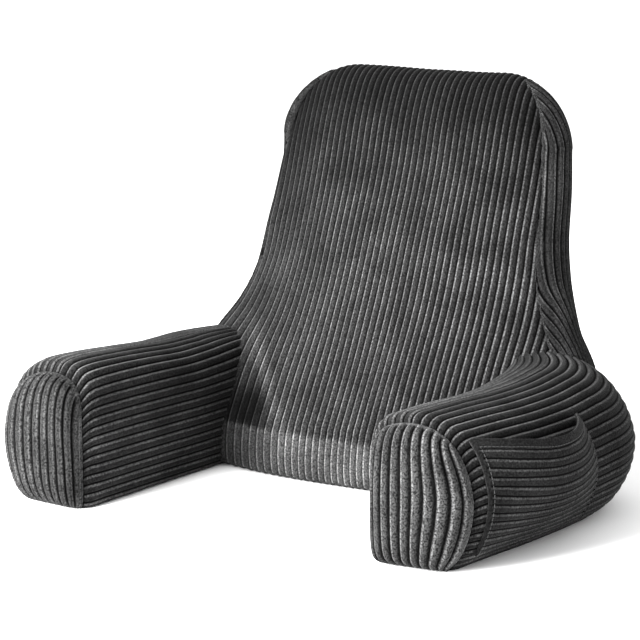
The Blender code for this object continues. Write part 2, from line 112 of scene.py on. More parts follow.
SEAM_WIDTHS = (
    # height, half width
    (0.000, 0.272),
    (0.110, 0.272),
    (0.150, 0.260),
    (0.195, 0.232),
    (0.245, 0.212),
    (0.305, 0.201),
    (0.370, NECK_HALF_WIDTH),
    (0.500, NECK_HALF_WIDTH),
)
SIDE_DRAWS = (
    # height, front, back
    (0.000, 0.052, 0.034),
    (0.160, 0.052, 0.034),
    (0.200, 0.050, 0.032),
    (0.250, 0.036, 0.028),
    (0.320, 0.014, 0.024),
    (0.400, 0.006, 0.022),
    (0.500, 0.006, 0.022),
)
BACK = (
    # depth behind the front foot, height
    (0.2540, 0.466),
    (0.2570, 0.430),
    (0.2550, 0.380),
    (0.2500, 0.320),
    (0.2410, 0.265),
    (0.2310, 0.222),
    (0.2210, 0.186),
    (0.2120, 0.150),
    (0.2020, 0.110),
    (0.1920, 0.050),
    (BASE_DEPTH, 0.000),
)
ROLL_AND_BACK = (
    # depth behind the front foot, height, share of the front draw, share of the back draw
    (0.1850, 0.466, 0.90, 0.00),
    (0.1960, 0.486, 0.70, 0.10),
    (0.2120, 0.498, 0.50, 0.40),
    (0.2300, 0.499, 0.20, 0.70),
    (0.2450, 0.488, 0.00, 0.90),
    *((depth, height, 0.00, 1.00) for depth, height in BACK),
)
ARM_SECTION = (
    # share across, share up
    (0.060, 0.000),
    (0.006, 0.045),
    (0.000, 0.300),
    (0.000, 0.600),
    (0.010, 0.810),
    (0.085, 0.940),
    (0.260, 0.995),
    (0.460, 1.000),
    (0.640, 0.965),
    (0.810, 0.870),
    (0.930, 0.720),
    (0.990, 0.560),
    (1.000, 0.440),
    (0.968, 0.280),
    (0.880, 0.115),
    (0.750, 0.000),
)
ARM_STATIONS = (
    # share of length, width, left height, right height, draw-in at the seam
    (0.000, 0.135, 0.168, 0.167, 0.0080),
    (0.015, 0.136, 0.170, 0.168, 0.0030),
    (0.045, 0.139, 0.172, 0.169, 0.0000),
    (0.120, 0.143, 0.174, 0.169, 0.0000),
    (0.300, 0.152, 0.171, 0.167, 0.0000),
    (0.550, 0.164, 0.164, 0.163, 0.0000),
    (0.800, 0.173, 0.157, 0.163, 0.0000),
    (1.000, 0.178, 0.157, 0.168, 0.0000),
)
POCKET_MOUTH = (
    # share of the pocket's length, height of the mouth
    (0.00, 0.144),
    (0.20, 0.131),
    (0.45, 0.121),
    (0.70, 0.121),
    (0.88, 0.128),
    (1.00, 0.137),
)
STRIP_LAPS = (
    # height, how far the right strip reaches round onto the front
    (0.085, 0.012),
    (0.190, 0.011),
    (0.260, 0.008),
    (0.320, 0.007),
    (0.380, 0.011),
    (0.500, 0.012),
)
STRIP_RIBS = (
    # height, ribs from the rear seam to the front one
    (0.085, 12.0),
    (0.170, 11.5),
    (0.255, 7.0),
    (0.500, 7.0),
)

# Painted light and shade patches on the backrest: a painted shadow in the dent above the crease,
# painted light beside it and on the foot band.
PAINTED_LIGHT_PATCHES = (
    # how much lighter it is painted, place across and up, reach across and up, slant, on the foot
    # band
    (-0.85, -0.145, 0.082, 0.030, 0.026, 0.0, False),
    (1.10, -0.116, 0.112, 0.013, 0.055, 0.9, False),
    (0.35, -0.050, 0.045, 0.050, 0.025, 0.0, True),
)
LEFT_CORNER_START = 0.36
LEFT_CORNER_BLEND = 0.06
LEFT_CORNER_TUCK_LOSS = 0.75
# Painted shade towards the backrest's sides, and the least painted light anywhere.
SIDE_PAINTED_SHADE = 0.22
DARKEST_PAINTED_SHADE = 0.12

# Shares of the ribs' depth, painted light and shade on the pile, and where it changes, in metres.
SEAM_FADE = 0.15
SEAM_FADE_REACH = 0.002
BAND_FADE = 0.42
BAND_BLEND = 0.004
FLOOR_FADE_REACH = 0.004
STRIP_DEPTH = 1.3
# How light the side strips are painted, and the painted shade along their front seam.
STRIP_PAINTED_LIGHT = 0.95
STRIP_SEAM_PAINTED_SHADE = {"left": 0.60, "right": 0.35}
STRIP_FRONT_TUCK = {"left": 0.70, "right": 0.35}
LAP_BLEND = 0.006
CAP_DEPTH = 1.35
# The left cap is painted darker than the right one, and each cap gets a painted highlight along its
# rim.
CAP_PAINTED_LIGHT = {"left": 0.62, "right": 1.0}
CAP_RIM_PAINTED_HIGHLIGHT = 0.7
CAP_RIM_SHARE = 0.35
# A painted highlight on the front of the arms' tops, painted shade towards their rear and near the
# caps' seams.
ARM_FRONT_PAINTED_HIGHLIGHT = 0.75
ARM_REAR_PAINTED_SHADE = 0.40
ARM_TOP_START = 0.135
ARM_TOP_BLEND = 0.03
ARM_FRONT_START = 0.06
ARM_FRONT_BLEND = 0.20
ARM_SEAM_PAINTED_SHADE = 0.35
ARM_SEAM_PAINTED_SHADE_REACH = 0.035
# Where across a rib its painted highlight line lies, on the side where the light falls.
HIGHLIGHT_LEFT = 0.22
HIGHLIGHT_RIGHT = 0.78

# The pocket's ribs, folded edges and stitches, in metres; the hem's blend is a share of its height.
RIB_RISE = 0.0010
HEM_RISE = 0.0011
HEM_BLEND = 0.02
# Painted shade along the pocket's folded edges, as a share, and its reach in metres.
FOLD_PAINTED_SHADE = 0.55
FOLD_PAINTED_SHADE_REACH = 0.006
FOLD_RISE = 0.0010
FOLD_PLACE = 0.0015
FOLD_WIDTH = 0.0008
STITCH_LIFT = 0.0012
HEM_STITCH_LIFT = 0.0018
HEM_STITCH_PLACE = 0.012

# How finely the cloth is drawn.
RIB_SAMPLES = 8
SECTION_ROWS = 210
ARM_ROWS = 110
TURN_ROWS = 70
BOTTOM_STEPS = 6
OUTLINE_POINTS = 400
FINE_OUTLINE_POINTS = 1200
CAP_ROWS = 72
POCKET_COLUMNS = 110
HEM_ROWS = 11
THREAD_SIDES = 6
FOOT_RADIUS = 0.012
SEAM_TUCK = 0.005
SEAM_TUCK_REACH = 0.012
FRONT_TUCK = 0.0030
CREASE_REACH = 0.008
CREASE_ROWS = 19
MERGE_DISTANCE = 0.00004
SAME_POINT = 0.0015

# Real sizes of the corduroy and the thread, in metres, and of its painted highlight line and
# ground, in ribs.
CLOUD_SIZE = 0.050
TUFT_SPACING = 0.0020
TUFT_HEIGHT = 0.0012
PLY_TWIST = 0.0006
PLY_HEIGHT = 0.0002
GROUND_END = 0.46
HIGHLIGHT_EDGE = 0.18
HIGHLIGHT_CORE = 0.04

# How the filling pushes the cloth.
FILLING_PRESSURE = 4.0
SIMULATED_FRAMES = 20
CLOTH_SETTINGS = {
    "vertex_group_mass": "held",
    "quality": 5,
    "mass": 0.3,
    "tension_stiffness": 30.0,
    "compression_stiffness": 30.0,
    "shear_stiffness": 10.0,
    "bending_stiffness": 1.0,
    "use_pressure": True,
    "uniform_pressure_force": FILLING_PRESSURE,
}


def size_setting(name, description, default):
    """A size that a maker would change, in metres."""
    return FloatProperty(name=name, description=description, default=default, unit="LENGTH")


def colour_setting(name, description, code):
    """A colour that a maker would change."""
    about = {"name": name, "description": description, "default": linear(code)}
    return FloatVectorProperty(**about, subtype="COLOR", min=0.0, max=1.0)


class PillowSizes(PropertyGroup):
    """Sizes that a maker would change."""

    rib_pitch: size_setting(
        "Backrest Rib Width", "Width of one rib on the backrest", NECK_HALF_WIDTH / NECK_RIBS
    )
    rib_depth: size_setting("Backrest Rib Depth", "Depth of the backrest's grooves", 0.0030)
    arm_rib_pitch: size_setting("Arm Rib Width", "Width of one rib on arms and pocket", 0.0118)
    cap_rib_pitch: size_setting("Cap Rib Width", "Width of one rib on the arms' end caps", 0.0134)
    arm_rib_depth: size_setting("Arm Rib Depth", "Depth of the arms' grooves", 0.0036)
    pocket_rib_depth: size_setting("Pocket Rib Depth", "Depth of the pocket's grooves", 0.0022)
    rib_roundness: FloatProperty(
        name="Rib Roundness",
        description="Low for a full round rib, 1 for a plain wave",
        default=0.55,
        min=0.2,
        max=2.0,
    )
    pocket_ribs: IntProperty(
        name="Pocket Ribs",
        description="Number of ribs between the pocket's hem and its foot",
        default=12,
        min=1,
    )
    unevenness: size_setting("Unevenness", "How far the filling pushes in and out", 0.0016)
    stitch_length: size_setting("Stitch Length", "Length of one stitch on the pocket", 0.0036)
    stitch_spacing: size_setting("Stitch Spacing", "Distance from one stitch to the next", 0.0050)
    thread_width: size_setting("Thread Width", "Thickness of the sewing thread", 0.0008)


class PillowColours(PropertyGroup):
    """Colours that a maker would change."""

    pile: colour_setting("Pile", "Colour of the pile on the sides of the ribs", "#252525")
    # Painted highlight: the thin light line on the side of each rib where the light falls.
    highlight_line: colour_setting("Painted Rib Highlight", "Colour of the pile on the light edge of the ribs", "#505050")
    # Partly the real short ground between the ribs and partly painted shade in the grooves.
    groove: colour_setting("Groove", "Colour of the ground between the ribs", "#080808")
    thread: colour_setting("Thread", "Colour of the sewing thread", "#2e2e2e")
    floor: colour_setting("Floor", "Colour of the studio floor", "#ffffff")


# Curves and tables.


def read(rows, column, at):
    """A table's column, read smoothly between its rows at many places at once."""
    table = np.array(rows, dtype=float)
    keys, values = table[:, 0], table[:, column]
    last = len(keys) - 1
    at = np.clip(at, keys[0], keys[-1])
    i = np.clip(np.searchsorted(keys, at, side="right") - 1, 0, last - 1)
    before, after = np.maximum(i - 1, 0), np.minimum(i + 2, last)
    span = keys[i + 1] - keys[i]
    t = (at - keys[i]) / span
    start = (values[i + 1] - values[before]) / (keys[i + 1] - keys[before])
    end = (values[after] - values[i]) / (keys[after] - keys[i])
    h = t * t * (3 - 2 * t)
    value = values[i] * (1 - h) + values[i + 1] * h
    return value + span * (start * t * (1 - t) ** 2 - end * t * t * (1 - t))


def smooth_curve(points, steps=14):
    """Points close together on a smooth curve through the given ones."""
    points = np.array(points, dtype=float)
    padded = np.vstack([2 * points[0] - points[1], points, 2 * points[-1] - points[-2]])
    curve = []
    for i in range(len(points) - 1):
        a, b, c, d = padded[i : i + 4]
        for t in np.arange(steps) / steps:
            bend = (2 * b, c - a, 2 * a - 5 * b + 4 * c - d, 3 * b - a - 3 * c + d)
            curve.append(0.5 * (bend[0] + bend[1] * t + bend[2] * t**2 + bend[3] * t**3))
    curve.append(points[-1])
    return np.array(curve)


def run_length(curve):
    """Distance of each point from a curve's start, by the curve's first two columns."""
    steps = np.linalg.norm(np.diff(curve[:, :2], axis=0), axis=1)
    return np.concatenate([[0.0], np.cumsum(steps)])


def unit(vectors):
    """Vectors brought to length one."""
    length = np.linalg.norm(vectors, axis=-1, keepdims=True)
    return vectors / np.maximum(length, 1e-12)


def limited(values):
    """Values held between 0 and 1."""
    return np.clip(values, 0.0, 1.0)


def stacked(*parts):
    """Coordinates brought to one shape and put side by side."""
    return np.stack(np.broadcast_arrays(*parts), axis=-1)


def between(at, keys, rows):
    """Rows of a table read straight between their keys."""
    return stacked(*(np.interp(at, keys, column) for column in np.transpose(rows)))


def evenly(curve, count):
    """Evenly spaced points on a curve, by the length of its first two columns."""
    distance = run_length(curve)
    at = np.linspace(0.0, distance[-1], count)
    return between(at, distance, curve)


def bumps(points, pitch, seed):
    """Smooth chance values between about -1 and 1 at many points, one lump per pitch."""
    shift = Vector((seed * 17.3, seed * 5.1, seed * 9.7))
    flat = points.reshape(-1, 3) / pitch
    values = [noise.noise(Vector(point) + shift) for point in flat]
    return 2.0 * np.array(values).reshape(points.shape[:-1])


# Meshes.


class Cloth:
    """Gathers the grids of one closed piece of ribbed cloth."""

    def __init__(self):
        self.points, self.faces, self.uvs, self.values = [], [], [], {}
        self.count = 0

    def add(self, grid, phase, fade, painted_light=1.0, uv=None, highlight_side=HIGHLIGHT_LEFT):
        """Adds a grid of points with its ribs, its painted light and shade, and the side of its
        painted highlight line; gives the point numbers.
        """
        shape = grid.shape[:2]
        self.points.append(grid.reshape(-1, 3))
        kept = (("rib_phase", phase), ("rib_fade", fade), ("painted_light", painted_light), ("rib_highlight_side", highlight_side))
        for title, value in kept:
            value = np.broadcast_to(value, shape).reshape(-1)
            self.values.setdefault(title, []).append(value)
        if uv is None:
            uv = grid[..., :2]
        self.uvs.append(uv.reshape(-1, 2))
        numbers = np.arange(self.count, self.count + shape[0] * shape[1]).reshape(shape)
        self.count += shape[0] * shape[1]
        return numbers

    def join(self, numbers, around=False):
        """Faces between the neighbours of a grid of point numbers."""
        if around:
            numbers = np.vstack([numbers, numbers[:1]])
        a, b = numbers[:-1, :-1], numbers[1:, :-1]
        c, d = numbers[1:, 1:], numbers[:-1, 1:]
        self.faces.append(np.stack([a, b, c, d], axis=-1).reshape(-1, 4))

    def back_to_back(self, front, back):
        """Closes two grids of the same size along their four edges."""
        self.join(front)
        self.join(back)
        for edge in (np.s_[0, :], np.s_[-1, :], np.s_[:, 0], np.s_[:, -1]):
            self.join(np.stack([front[edge], back[edge]]))

    def make(self, name):
        """The piece as a mesh, merged, closed and facing outwards."""
        mesh = bpy.data.meshes.new(name)
        faces = np.vstack(self.faces)
        mesh.from_pydata(np.vstack(self.points).tolist(), [], faces.tolist())
        for title, values in self.values.items():
            attribute = mesh.attributes.new(title, "FLOAT", "POINT")
            attribute.data.foreach_set("value", np.concatenate(values).astype(np.float32))
        layer = mesh.uv_layers.new(name="cloth")
        corners = np.zeros(len(mesh.loops), dtype=np.int32)
        mesh.loops.foreach_get("vertex_index", corners)
        layer.data.foreach_set("uv", np.vstack(self.uvs)[corners].ravel().astype(np.float32))
        work = bmesh.new()
        work.from_mesh(mesh)
        bmesh.ops.remove_doubles(work, verts=work.verts, dist=MERGE_DISTANCE)
        bmesh.ops.dissolve_degenerate(work, edges=work.edges, dist=MERGE_DISTANCE)
        holes = [edge for edge in work.edges if edge.is_boundary]
        if holes:
            bmesh.ops.holes_fill(work, edges=holes, sides=0)
        bmesh.ops.recalc_face_normals(work, faces=work.faces)
        if work.calc_volume(signed=True) < 0:
            bmesh.ops.reverse_faces(work, faces=work.faces)
        work.to_mesh(mesh)
        work.free()
        mesh.shade_smooth()
        return mesh


def placed(points, side):
    """Points beside an arm's inner side, splayed, set beside the backrest and mirrored."""
    splay = LEFT_SPLAY if side < 0 else RIGHT_SPLAY
    angle = splay * limited(-points[..., 1] / SPLAY_EASE)
    x = points[..., 0] * np.cos(angle) - points[..., 1] * np.sin(angle)
    y = points[..., 0] * np.sin(angle) + points[..., 1] * np.cos(angle)
    return stacked(side * (x + HALF_GAP), y + ARM_PIVOT_Y, points[..., 2])


def link(name, data):
    """A new object for a mesh, a light or a camera, at the origin."""
    made = bpy.data.objects.new(name, data)
    bpy.context.scene.collection.objects.link(made)
    return made


# Filling.


def spread_out(values, rows, columns, shape):
    """A coarse grid of values brought smoothly to a finer one."""
    fine = np.stack([between(np.arange(shape[1]), columns, row) for row in values])
    full = [between(np.arange(shape[0]), rows, fine[:, j]) for j in range(shape[1])]
    full = np.stack(full, axis=1)
    for axis, steps in ((0, rows), (1, columns)):
        reach = max(int(steps[1] - steps[0]), 1)
        for _ in range(2):
            wide = [(reach, reach) if way == axis else (0, 0) for way in range(3)]
            padded = np.cumsum(np.pad(full, wide, mode="reflect", reflect_type="odd"), axis=axis)
            last = np.take(padded, range(2 * reach, padded.shape[axis]), axis=axis)
            first = np.take(padded, range(0, padded.shape[axis] - 2 * reach), axis=axis)
            full = (last - first) / (2 * reach)
    return full


def blown(grid, most, cells=30):
    """Cloth held along its border and pushed out by the filling, from a short simulation."""
    shape = grid.shape[:2]
    rows = np.unique(np.linspace(0, shape[0] - 1, min(cells, shape[0])).round().astype(int))
    columns = np.unique(np.linspace(0, shape[1] - 1, min(cells, shape[1])).round().astype(int))
    coarse = grid[np.ix_(rows, columns)]
    # Points that fall together where ribs run out at a seam count as one.
    cell = np.round(coarse.reshape(-1, 3) / SAME_POINT).astype(int)
    _, first, numbers = np.unique(cell, axis=0, return_index=True, return_inverse=True)
    numbers = numbers.reshape(coarse.shape[:2])
    points = coarse.reshape(-1, 3)[first]
    a, b = numbers[:-1, :-1].ravel(), numbers[1:, :-1].ravel()
    c, d = numbers[1:, 1:].ravel(), numbers[:-1, 1:].ravel()
    faces = [list(dict.fromkeys(face)) for face in np.stack([a, b, c, d], axis=-1).tolist()]
    mesh = bpy.data.meshes.new("filling_push")
    mesh.from_pydata(points.tolist(), [], [face for face in faces if len(face) > 2])
    middle = Vector(points.mean(axis=0))
    mesh.update()
    outward = [(face.center - middle).dot(face.normal) * face.area for face in mesh.polygons]
    if sum(outward) < 0:
        mesh.flip_normals()
    piece = link("filling_push", mesh)
    held = piece.vertex_groups.new(name="held")
    edge = np.concatenate([numbers[0], numbers[-1], numbers[:, 0], numbers[:, -1]])
    held.add([int(i) for i in np.unique(edge)], 1.0, "REPLACE")
    cloth = piece.modifiers.new("cloth", "CLOTH")
    for key, value in CLOTH_SETTINGS.items():
        setattr(cloth.settings, key, value)
    cloth.settings.effector_weights.gravity = 0.0
    cloth.collision_settings.use_collision = False
    cloth.point_cache.frame_start = 1
    cloth.point_cache.frame_end = SIMULATED_FRAMES
    for step in range(1, SIMULATED_FRAMES + 1):
        bpy.context.scene.frame_set(step)
    evaluated = piece.evaluated_get(bpy.context.evaluated_depsgraph_get())
    moved = np.zeros(len(mesh.vertices) * 3)
    evaluated.data.vertices.foreach_get("co", moved)
    push = (moved.reshape(-1, 3) - points)[numbers]
    length = np.linalg.norm(push, axis=-1, keepdims=True)
    push = push * np.minimum(1.0, most / np.maximum(length, 1e-9))
    bpy.context.scene.frame_set(1)
    bpy.data.objects.remove(piece, do_unlink=True)
    bpy.data.meshes.remove(mesh)
    return grid + spread_out(push, rows, columns, shape)


# Geometry Nodes.


def node(tree, kind, inputs=None, **settings):
    """Adds a node with its settings, values and links."""
    made = tree.nodes.new(kind)
    for key, value in settings.items():
        setattr(made, key, value)
    for key, value in (inputs or {}).items():
        if isinstance(value, bpy.types.NodeSocket):
            tree.links.new(value, made.inputs[key])
        else:
            made.inputs[key].default_value = value
    return made


def maths(tree, operation, first, second=0.5):
    """Adds a math node and gives its result."""
    return node(tree, "ShaderNodeMath", {0: first, 1: second}, operation=operation).outputs[0]


def remapped(tree, value, start, end, low=0.0, high=1.0, kind="LINEAR"):
    """A value brought from one range to another, and held at the ends."""
    inputs = {"Value": value, "From Min": start, "From Max": end, "To Min": low, "To Max": high}
    return node(tree, "ShaderNodeMapRange", inputs, interpolation_type=kind).outputs[0]


def scaled(tree, vector, scale):
    """A direction or a colour times a value."""
    inputs = {0: vector, "Scale": scale}
    return node(tree, "ShaderNodeVectorMath", inputs, operation="SCALE").outputs[0]


def mixed(tree, share, first, second):
    """A colour between two."""
    inputs = {0: share, 6: first, 7: second}
    return node(tree, "ShaderNodeMix", inputs, data_type="RGBA").outputs[2]


def lumps(tree, place, size, detail):
    """Cloudy values around one half, with lumps of a real size."""
    inputs = {"Vector": place, "Scale": 1 / size, "Detail": detail}
    return node(tree, "ShaderNodeTexNoise", inputs).outputs[0]


def tree_with(name, inputs):
    """A Geometry Nodes tree with named inputs, its input node and its output node."""
    tree = bpy.data.node_groups.new(name, "GeometryNodeTree")
    face = tree.interface
    face.new_socket("Geometry", in_out="INPUT", socket_type="NodeSocketGeometry")
    for title, kind in inputs:
        face.new_socket(title, in_out="INPUT", socket_type=kind)
    face.new_socket("Geometry", in_out="OUTPUT", socket_type="NodeSocketGeometry")
    return tree, node(tree, "NodeGroupInput").outputs, node(tree, "NodeGroupOutput")


def dressed(tree, out, geometry, material):
    """Ends a tree: its geometry made real, in its material."""
    real = node(tree, "GeometryNodeRealizeInstances", {"Geometry": geometry})
    made = {"Geometry": real.outputs[0], "Material": material}
    made = node(tree, "GeometryNodeSetMaterial", made)
    tree.links.new(made.outputs[0], out.inputs[0])
    return tree


def rib_tree():
    """Draws the grooves between round ribs into a piece, by its rib phase."""
    inputs = [("Depth", "NodeSocketFloat"), ("Roundness", "NodeSocketFloat")]
    tree, given, out = tree_with("corduroy_ribs", inputs + [("Cloth", "NodeSocketMaterial")])
    phase = node(tree, "GeometryNodeInputNamedAttribute", {"Name": "rib_phase"})
    fade = node(tree, "GeometryNodeInputNamedAttribute", {"Name": "rib_fade"})
    wave = maths(tree, "SINE", maths(tree, "MULTIPLY", phase.outputs[0], math.pi))
    rise = maths(tree, "POWER", maths(tree, "ABSOLUTE", wave), given["Roundness"])
    down = maths(tree, "MULTIPLY", maths(tree, "SUBTRACT", rise, 1.0), fade.outputs[0])
    deep = maths(tree, "MULTIPLY", down, given["Depth"])
    normal = node(tree, "GeometryNodeInputNormal")
    moved = {"Geometry": given["Geometry"], "Offset": scaled(tree, normal.outputs[0], deep)}
    moved = node(tree, "GeometryNodeSetPosition", moved)
    return dressed(tree, out, moved.outputs[0], given["Cloth"])


def stitch_tree():
    """Lays short threads along a line, one per spacing."""
    titles = ["Spacing", "Length", "Width"]
    inputs = [(title, "NodeSocketFloat") for title in titles]
    tree, given, out = tree_with("stitches", inputs + [("Thread", "NodeSocketMaterial")])
    line = node(tree, "GeometryNodeMeshToCurve", {"Mesh": given["Geometry"]})
    places = {"Curve": line.outputs[0], "Length": given["Spacing"]}
    places = node(tree, "GeometryNodeCurveToPoints", places, mode="LENGTH")
    radius = maths(tree, "MULTIPLY", given["Width"], 0.5)
    thread = {"Vertices": THREAD_SIDES, "Radius": radius, "Depth": given["Length"]}
    thread = node(tree, "GeometryNodeMeshCylinder", thread)
    laid = {"Points": places.outputs["Points"], "Instance": thread.outputs["Mesh"]}
    laid["Rotation"] = places.outputs["Rotation"]
    laid = node(tree, "GeometryNodeInstanceOnPoints", laid)
    return dressed(tree, out, laid.outputs[0], given["Thread"])


def through(tree, name, mesh, values):
    """Runs a mesh through a Geometry Nodes tree and gives the result as a plain object."""
    source = link(name + "_source", mesh)
    modifier = source.modifiers.new("nodes", "NODES")
    modifier.node_group = tree
    for item in tree.interface.items_tree:
        if item.in_out == "INPUT" and item.name in values:
            modifier[item.identifier] = values[item.name]
    bpy.context.view_layer.update()
    evaluated = source.evaluated_get(bpy.context.evaluated_depsgraph_get())
    result = bpy.data.meshes.new_from_object(evaluated)
    bpy.data.objects.remove(source, do_unlink=True)
    result.name = name
    return link(name, result)


def ribbed(name, cloth, depth, material):
    """Finishes a piece of corduroy: closes its mesh and draws its grooves in."""
    sizes = bpy.context.scene.pillow_sizes
    tree = bpy.data.node_groups.get("corduroy_ribs") or rib_tree()
    values = {"Depth": depth, "Roundness": sizes.rib_roundness, "Cloth": material}
    return through(tree, name, cloth.make(name), values)


# Materials.


def new_material(name, roughness, specular=0.5):
    """A new material with its node tree and its shader's inputs."""
    made = bpy.data.materials.new(name)
    made.use_nodes = True
    inputs = made.node_tree.nodes["Principled BSDF"].inputs
    inputs["Roughness"].default_value = roughness
    inputs["Specular IOR Level"].default_value = specular
    return made, made.node_tree, inputs


def surfaced(tree, inputs, shade, height, distance, strength=1.0):
    """Gives a shader its colour and its fine relief."""
    tree.links.new(shade, inputs["Base Color"])
    bump = {"Height": height, "Distance": distance, "Strength": strength}
    bump = node(tree, "ShaderNodeBump", bump)
    tree.links.new(bump.outputs[0], inputs["Normal"])


def corduroy(name, painted_lightness, line, grain, ground=0.34):
    """Plush polyester corduroy: thick brushed pile on broad ribs, cut short between them.

    It gives broad dark ribs with one thin painted highlight line each, on the side where light
    falls, grooves darkened by the short ground and by painted shade, tufts' grain, clouds where the
    pile was stroked, and painted light and shade.
    """
    found = bpy.data.materials.get(name)
    if found:
        return found
    colours = bpy.context.scene.pillow_colours
    cloth, tree, inputs = new_material(name, roughness=0.92, specular=0.04)
    place = node(tree, "ShaderNodeTexCoord").outputs["Object"]
    titles = ("rib_phase", "rib_fade", "rib_highlight_side", "painted_light")
    phase, fade, highlight_side, laid = [
        node(tree, "ShaderNodeAttribute", attribute_name=title).outputs["Fac"] for title in titles
    ]
    across = maths(tree, "FRACT", phase)
    # Distance from the middle of a rib: 0.5 in a groove. The ground shows from a given one.
    off = maths(tree, "ABSOLUTE", maths(tree, "SUBTRACT", across, 0.5))
    # The groove colour is partly the real short ground and partly painted shade in the grooves.
    groove = remapped(tree, off, ground, GROUND_END, kind="SMOOTHSTEP")
    groove = maths(tree, "MULTIPLY", groove, fade)
    # Painted highlight: a thin light line along the lit side of each rib.
    edge = maths(tree, "ABSOLUTE", maths(tree, "SUBTRACT", across, highlight_side))
    edge = remapped(tree, edge, HIGHLIGHT_EDGE, HIGHLIGHT_CORE, kind="SMOOTHSTEP")
    edge = maths(tree, "MULTIPLY", edge, fade)
    shades = (colours.pile, colours.highlight_line, colours.groove)
    # Each piece of the same corduroy is painted lighter or darker as painted light and shade, and
    # so is its highlight line.
    levels = (painted_lightness, painted_lightness * line, painted_lightness)
    pile, highlight_line, dark = [
        tuple(level * part for part in shade) + (1.0,) for shade, level in zip(shades, levels)
    ]
    base = mixed(tree, groove, mixed(tree, edge, pile, highlight_line), dark)
    clouds = lumps(tree, place, CLOUD_SIZE, detail=4.0)
    cloudy = remapped(tree, clouds, 0.34, 0.66, low=0.75, high=1.3)
    tufts = lumps(tree, place, TUFT_SPACING, detail=2.0)
    speck = remapped(tree, tufts, 0.36, 0.64, low=1.0 - grain, high=1.0 + 1.3 * grain)
    # Painted light and shade: the colour is scaled by each point's painted light value, lighter
    # where light falls and darker in shade.
    shade = maths(tree, "MULTIPLY", maths(tree, "MULTIPLY", cloudy, speck), laid)
    surfaced(tree, inputs, scaled(tree, base, shade), tufts, TUFT_HEIGHT, strength=0.9)
    inputs["Sheen Weight"].default_value = 0.03
    inputs["Sheen Roughness"].default_value = 0.4
    return cloth


def thread_material():
    """Spun polyester thread: matt, with the twist of its plies as fine slanting bars."""
    found = bpy.data.materials.get("spun polyester thread")
    if found:
        return found
    made, tree, inputs = new_material("spun polyester thread", roughness=0.7)
    place = node(tree, "ShaderNodeTexCoord").outputs["Object"]
    twist = lumps(tree, place, PLY_TWIST, detail=1.0)
    light = remapped(tree, twist, 0.0, 1.0, low=0.6, high=1.4)
    shade = scaled(tree, tuple(bpy.context.scene.pillow_colours.thread), light)
    surfaced(tree, inputs, shade, twist, PLY_HEIGHT)
    return made


# Backrest.


def top_height(x):
    """Height of the backrest's top above a place on its width."""
    over = np.clip(np.abs(x) - (NECK_HALF_WIDTH - TOP_CORNER_RADIUS), 0.0, TOP_CORNER_RADIUS)
    return HEIGHT - TOP_CORNER_RADIUS + np.sqrt(TOP_CORNER_RADIUS**2 - over**2)


def lean_depth(height):
    """Depth of the leaning face behind the front foot."""
    rise = height - CREASE_HEIGHT
    return LEAN_START * rise - LEAN_LOSS * rise * rise


def backrest_rows():
    """The section on the middle line, close together: depth, height, front and back draw."""
    band = [(0, 0, 1, 0), (-BAND_CROWN, 0.5 * CREASE_HEIGHT, 1, 0), (0, CREASE_HEIGHT, 1, 0)]
    lean = [(lean_depth(height), height, 1, 0) for height in (CREASE_HEIGHT, *LEAN_HEIGHTS)]
    run = np.vstack([smooth_curve(band)[:-1], smooth_curve(lean + list(ROLL_AND_BACK))])
    distance = run_length(run)
    crease = distance[int(np.argmax(run[:, 1] >= CREASE_HEIGHT))]
    near = crease + CREASE_REACH * np.linspace(-1.5, 1.5, CREASE_ROWS)
    at = np.union1d(np.linspace(0.0, distance[-1], SECTION_ROWS - CREASE_ROWS), near)
    return between(at, distance, run)


def squeezed(x, height):
    """Height of a row where the top is lower, towards the corners."""
    squeeze = (top_height(x) - SQUEEZE_START) / (HEIGHT - SQUEEZE_START)
    low = SQUEEZE_START + (height - SQUEEZE_START) * squeeze
    return np.where(height > SQUEEZE_START, low, height)


def backrest_points(share, rows):
    """Points of the backrest: share runs from -1 to 1 across its width."""
    depth, height, front_share, back_share = (rows[:, k][None, :] for k in range(4))
    x = share * NECK_HALF_WIDTH
    height = squeezed(x, height)
    x = x + (read(SEAM_WIDTHS, 1, height) - NECK_HALF_WIDTH) * share * share**2
    crown = np.abs(share) ** DRAW_POWER
    depth = depth + read(SIDE_DRAWS, 1, height) * front_share * crown
    depth = depth - read(SIDE_DRAWS, 2, height) * back_share * crown
    return stacked(x, FRONT_Y + depth, height)


def straight_share(across, rows):
    """The share of the width at which a straight rib stands on each row, at most 1."""
    height = rows[:, 1][None, :]
    share = np.minimum(across / NECK_HALF_WIDTH, 1.0) + 0 * height
    for _ in range(8):
        spread = read(SEAM_WIDTHS, 1, squeezed(share * NECK_HALF_WIDTH, height)) - NECK_HALF_WIDTH
        miss = share * NECK_HALF_WIDTH + spread * share**3 - across
        share = limited(share - miss / (NECK_HALF_WIDTH + 3 * spread * share**2))
    return share


def tucked(points, normals, distance, depth):
    """Draws the cloth in at a seam, within a short reach of it."""
    near = limited(1.0 - distance / SEAM_TUCK_REACH)
    fall = depth * (1.0 - np.sqrt(np.maximum(1.0 - near**2, 0.0)))
    return points - normals * fall[..., None]


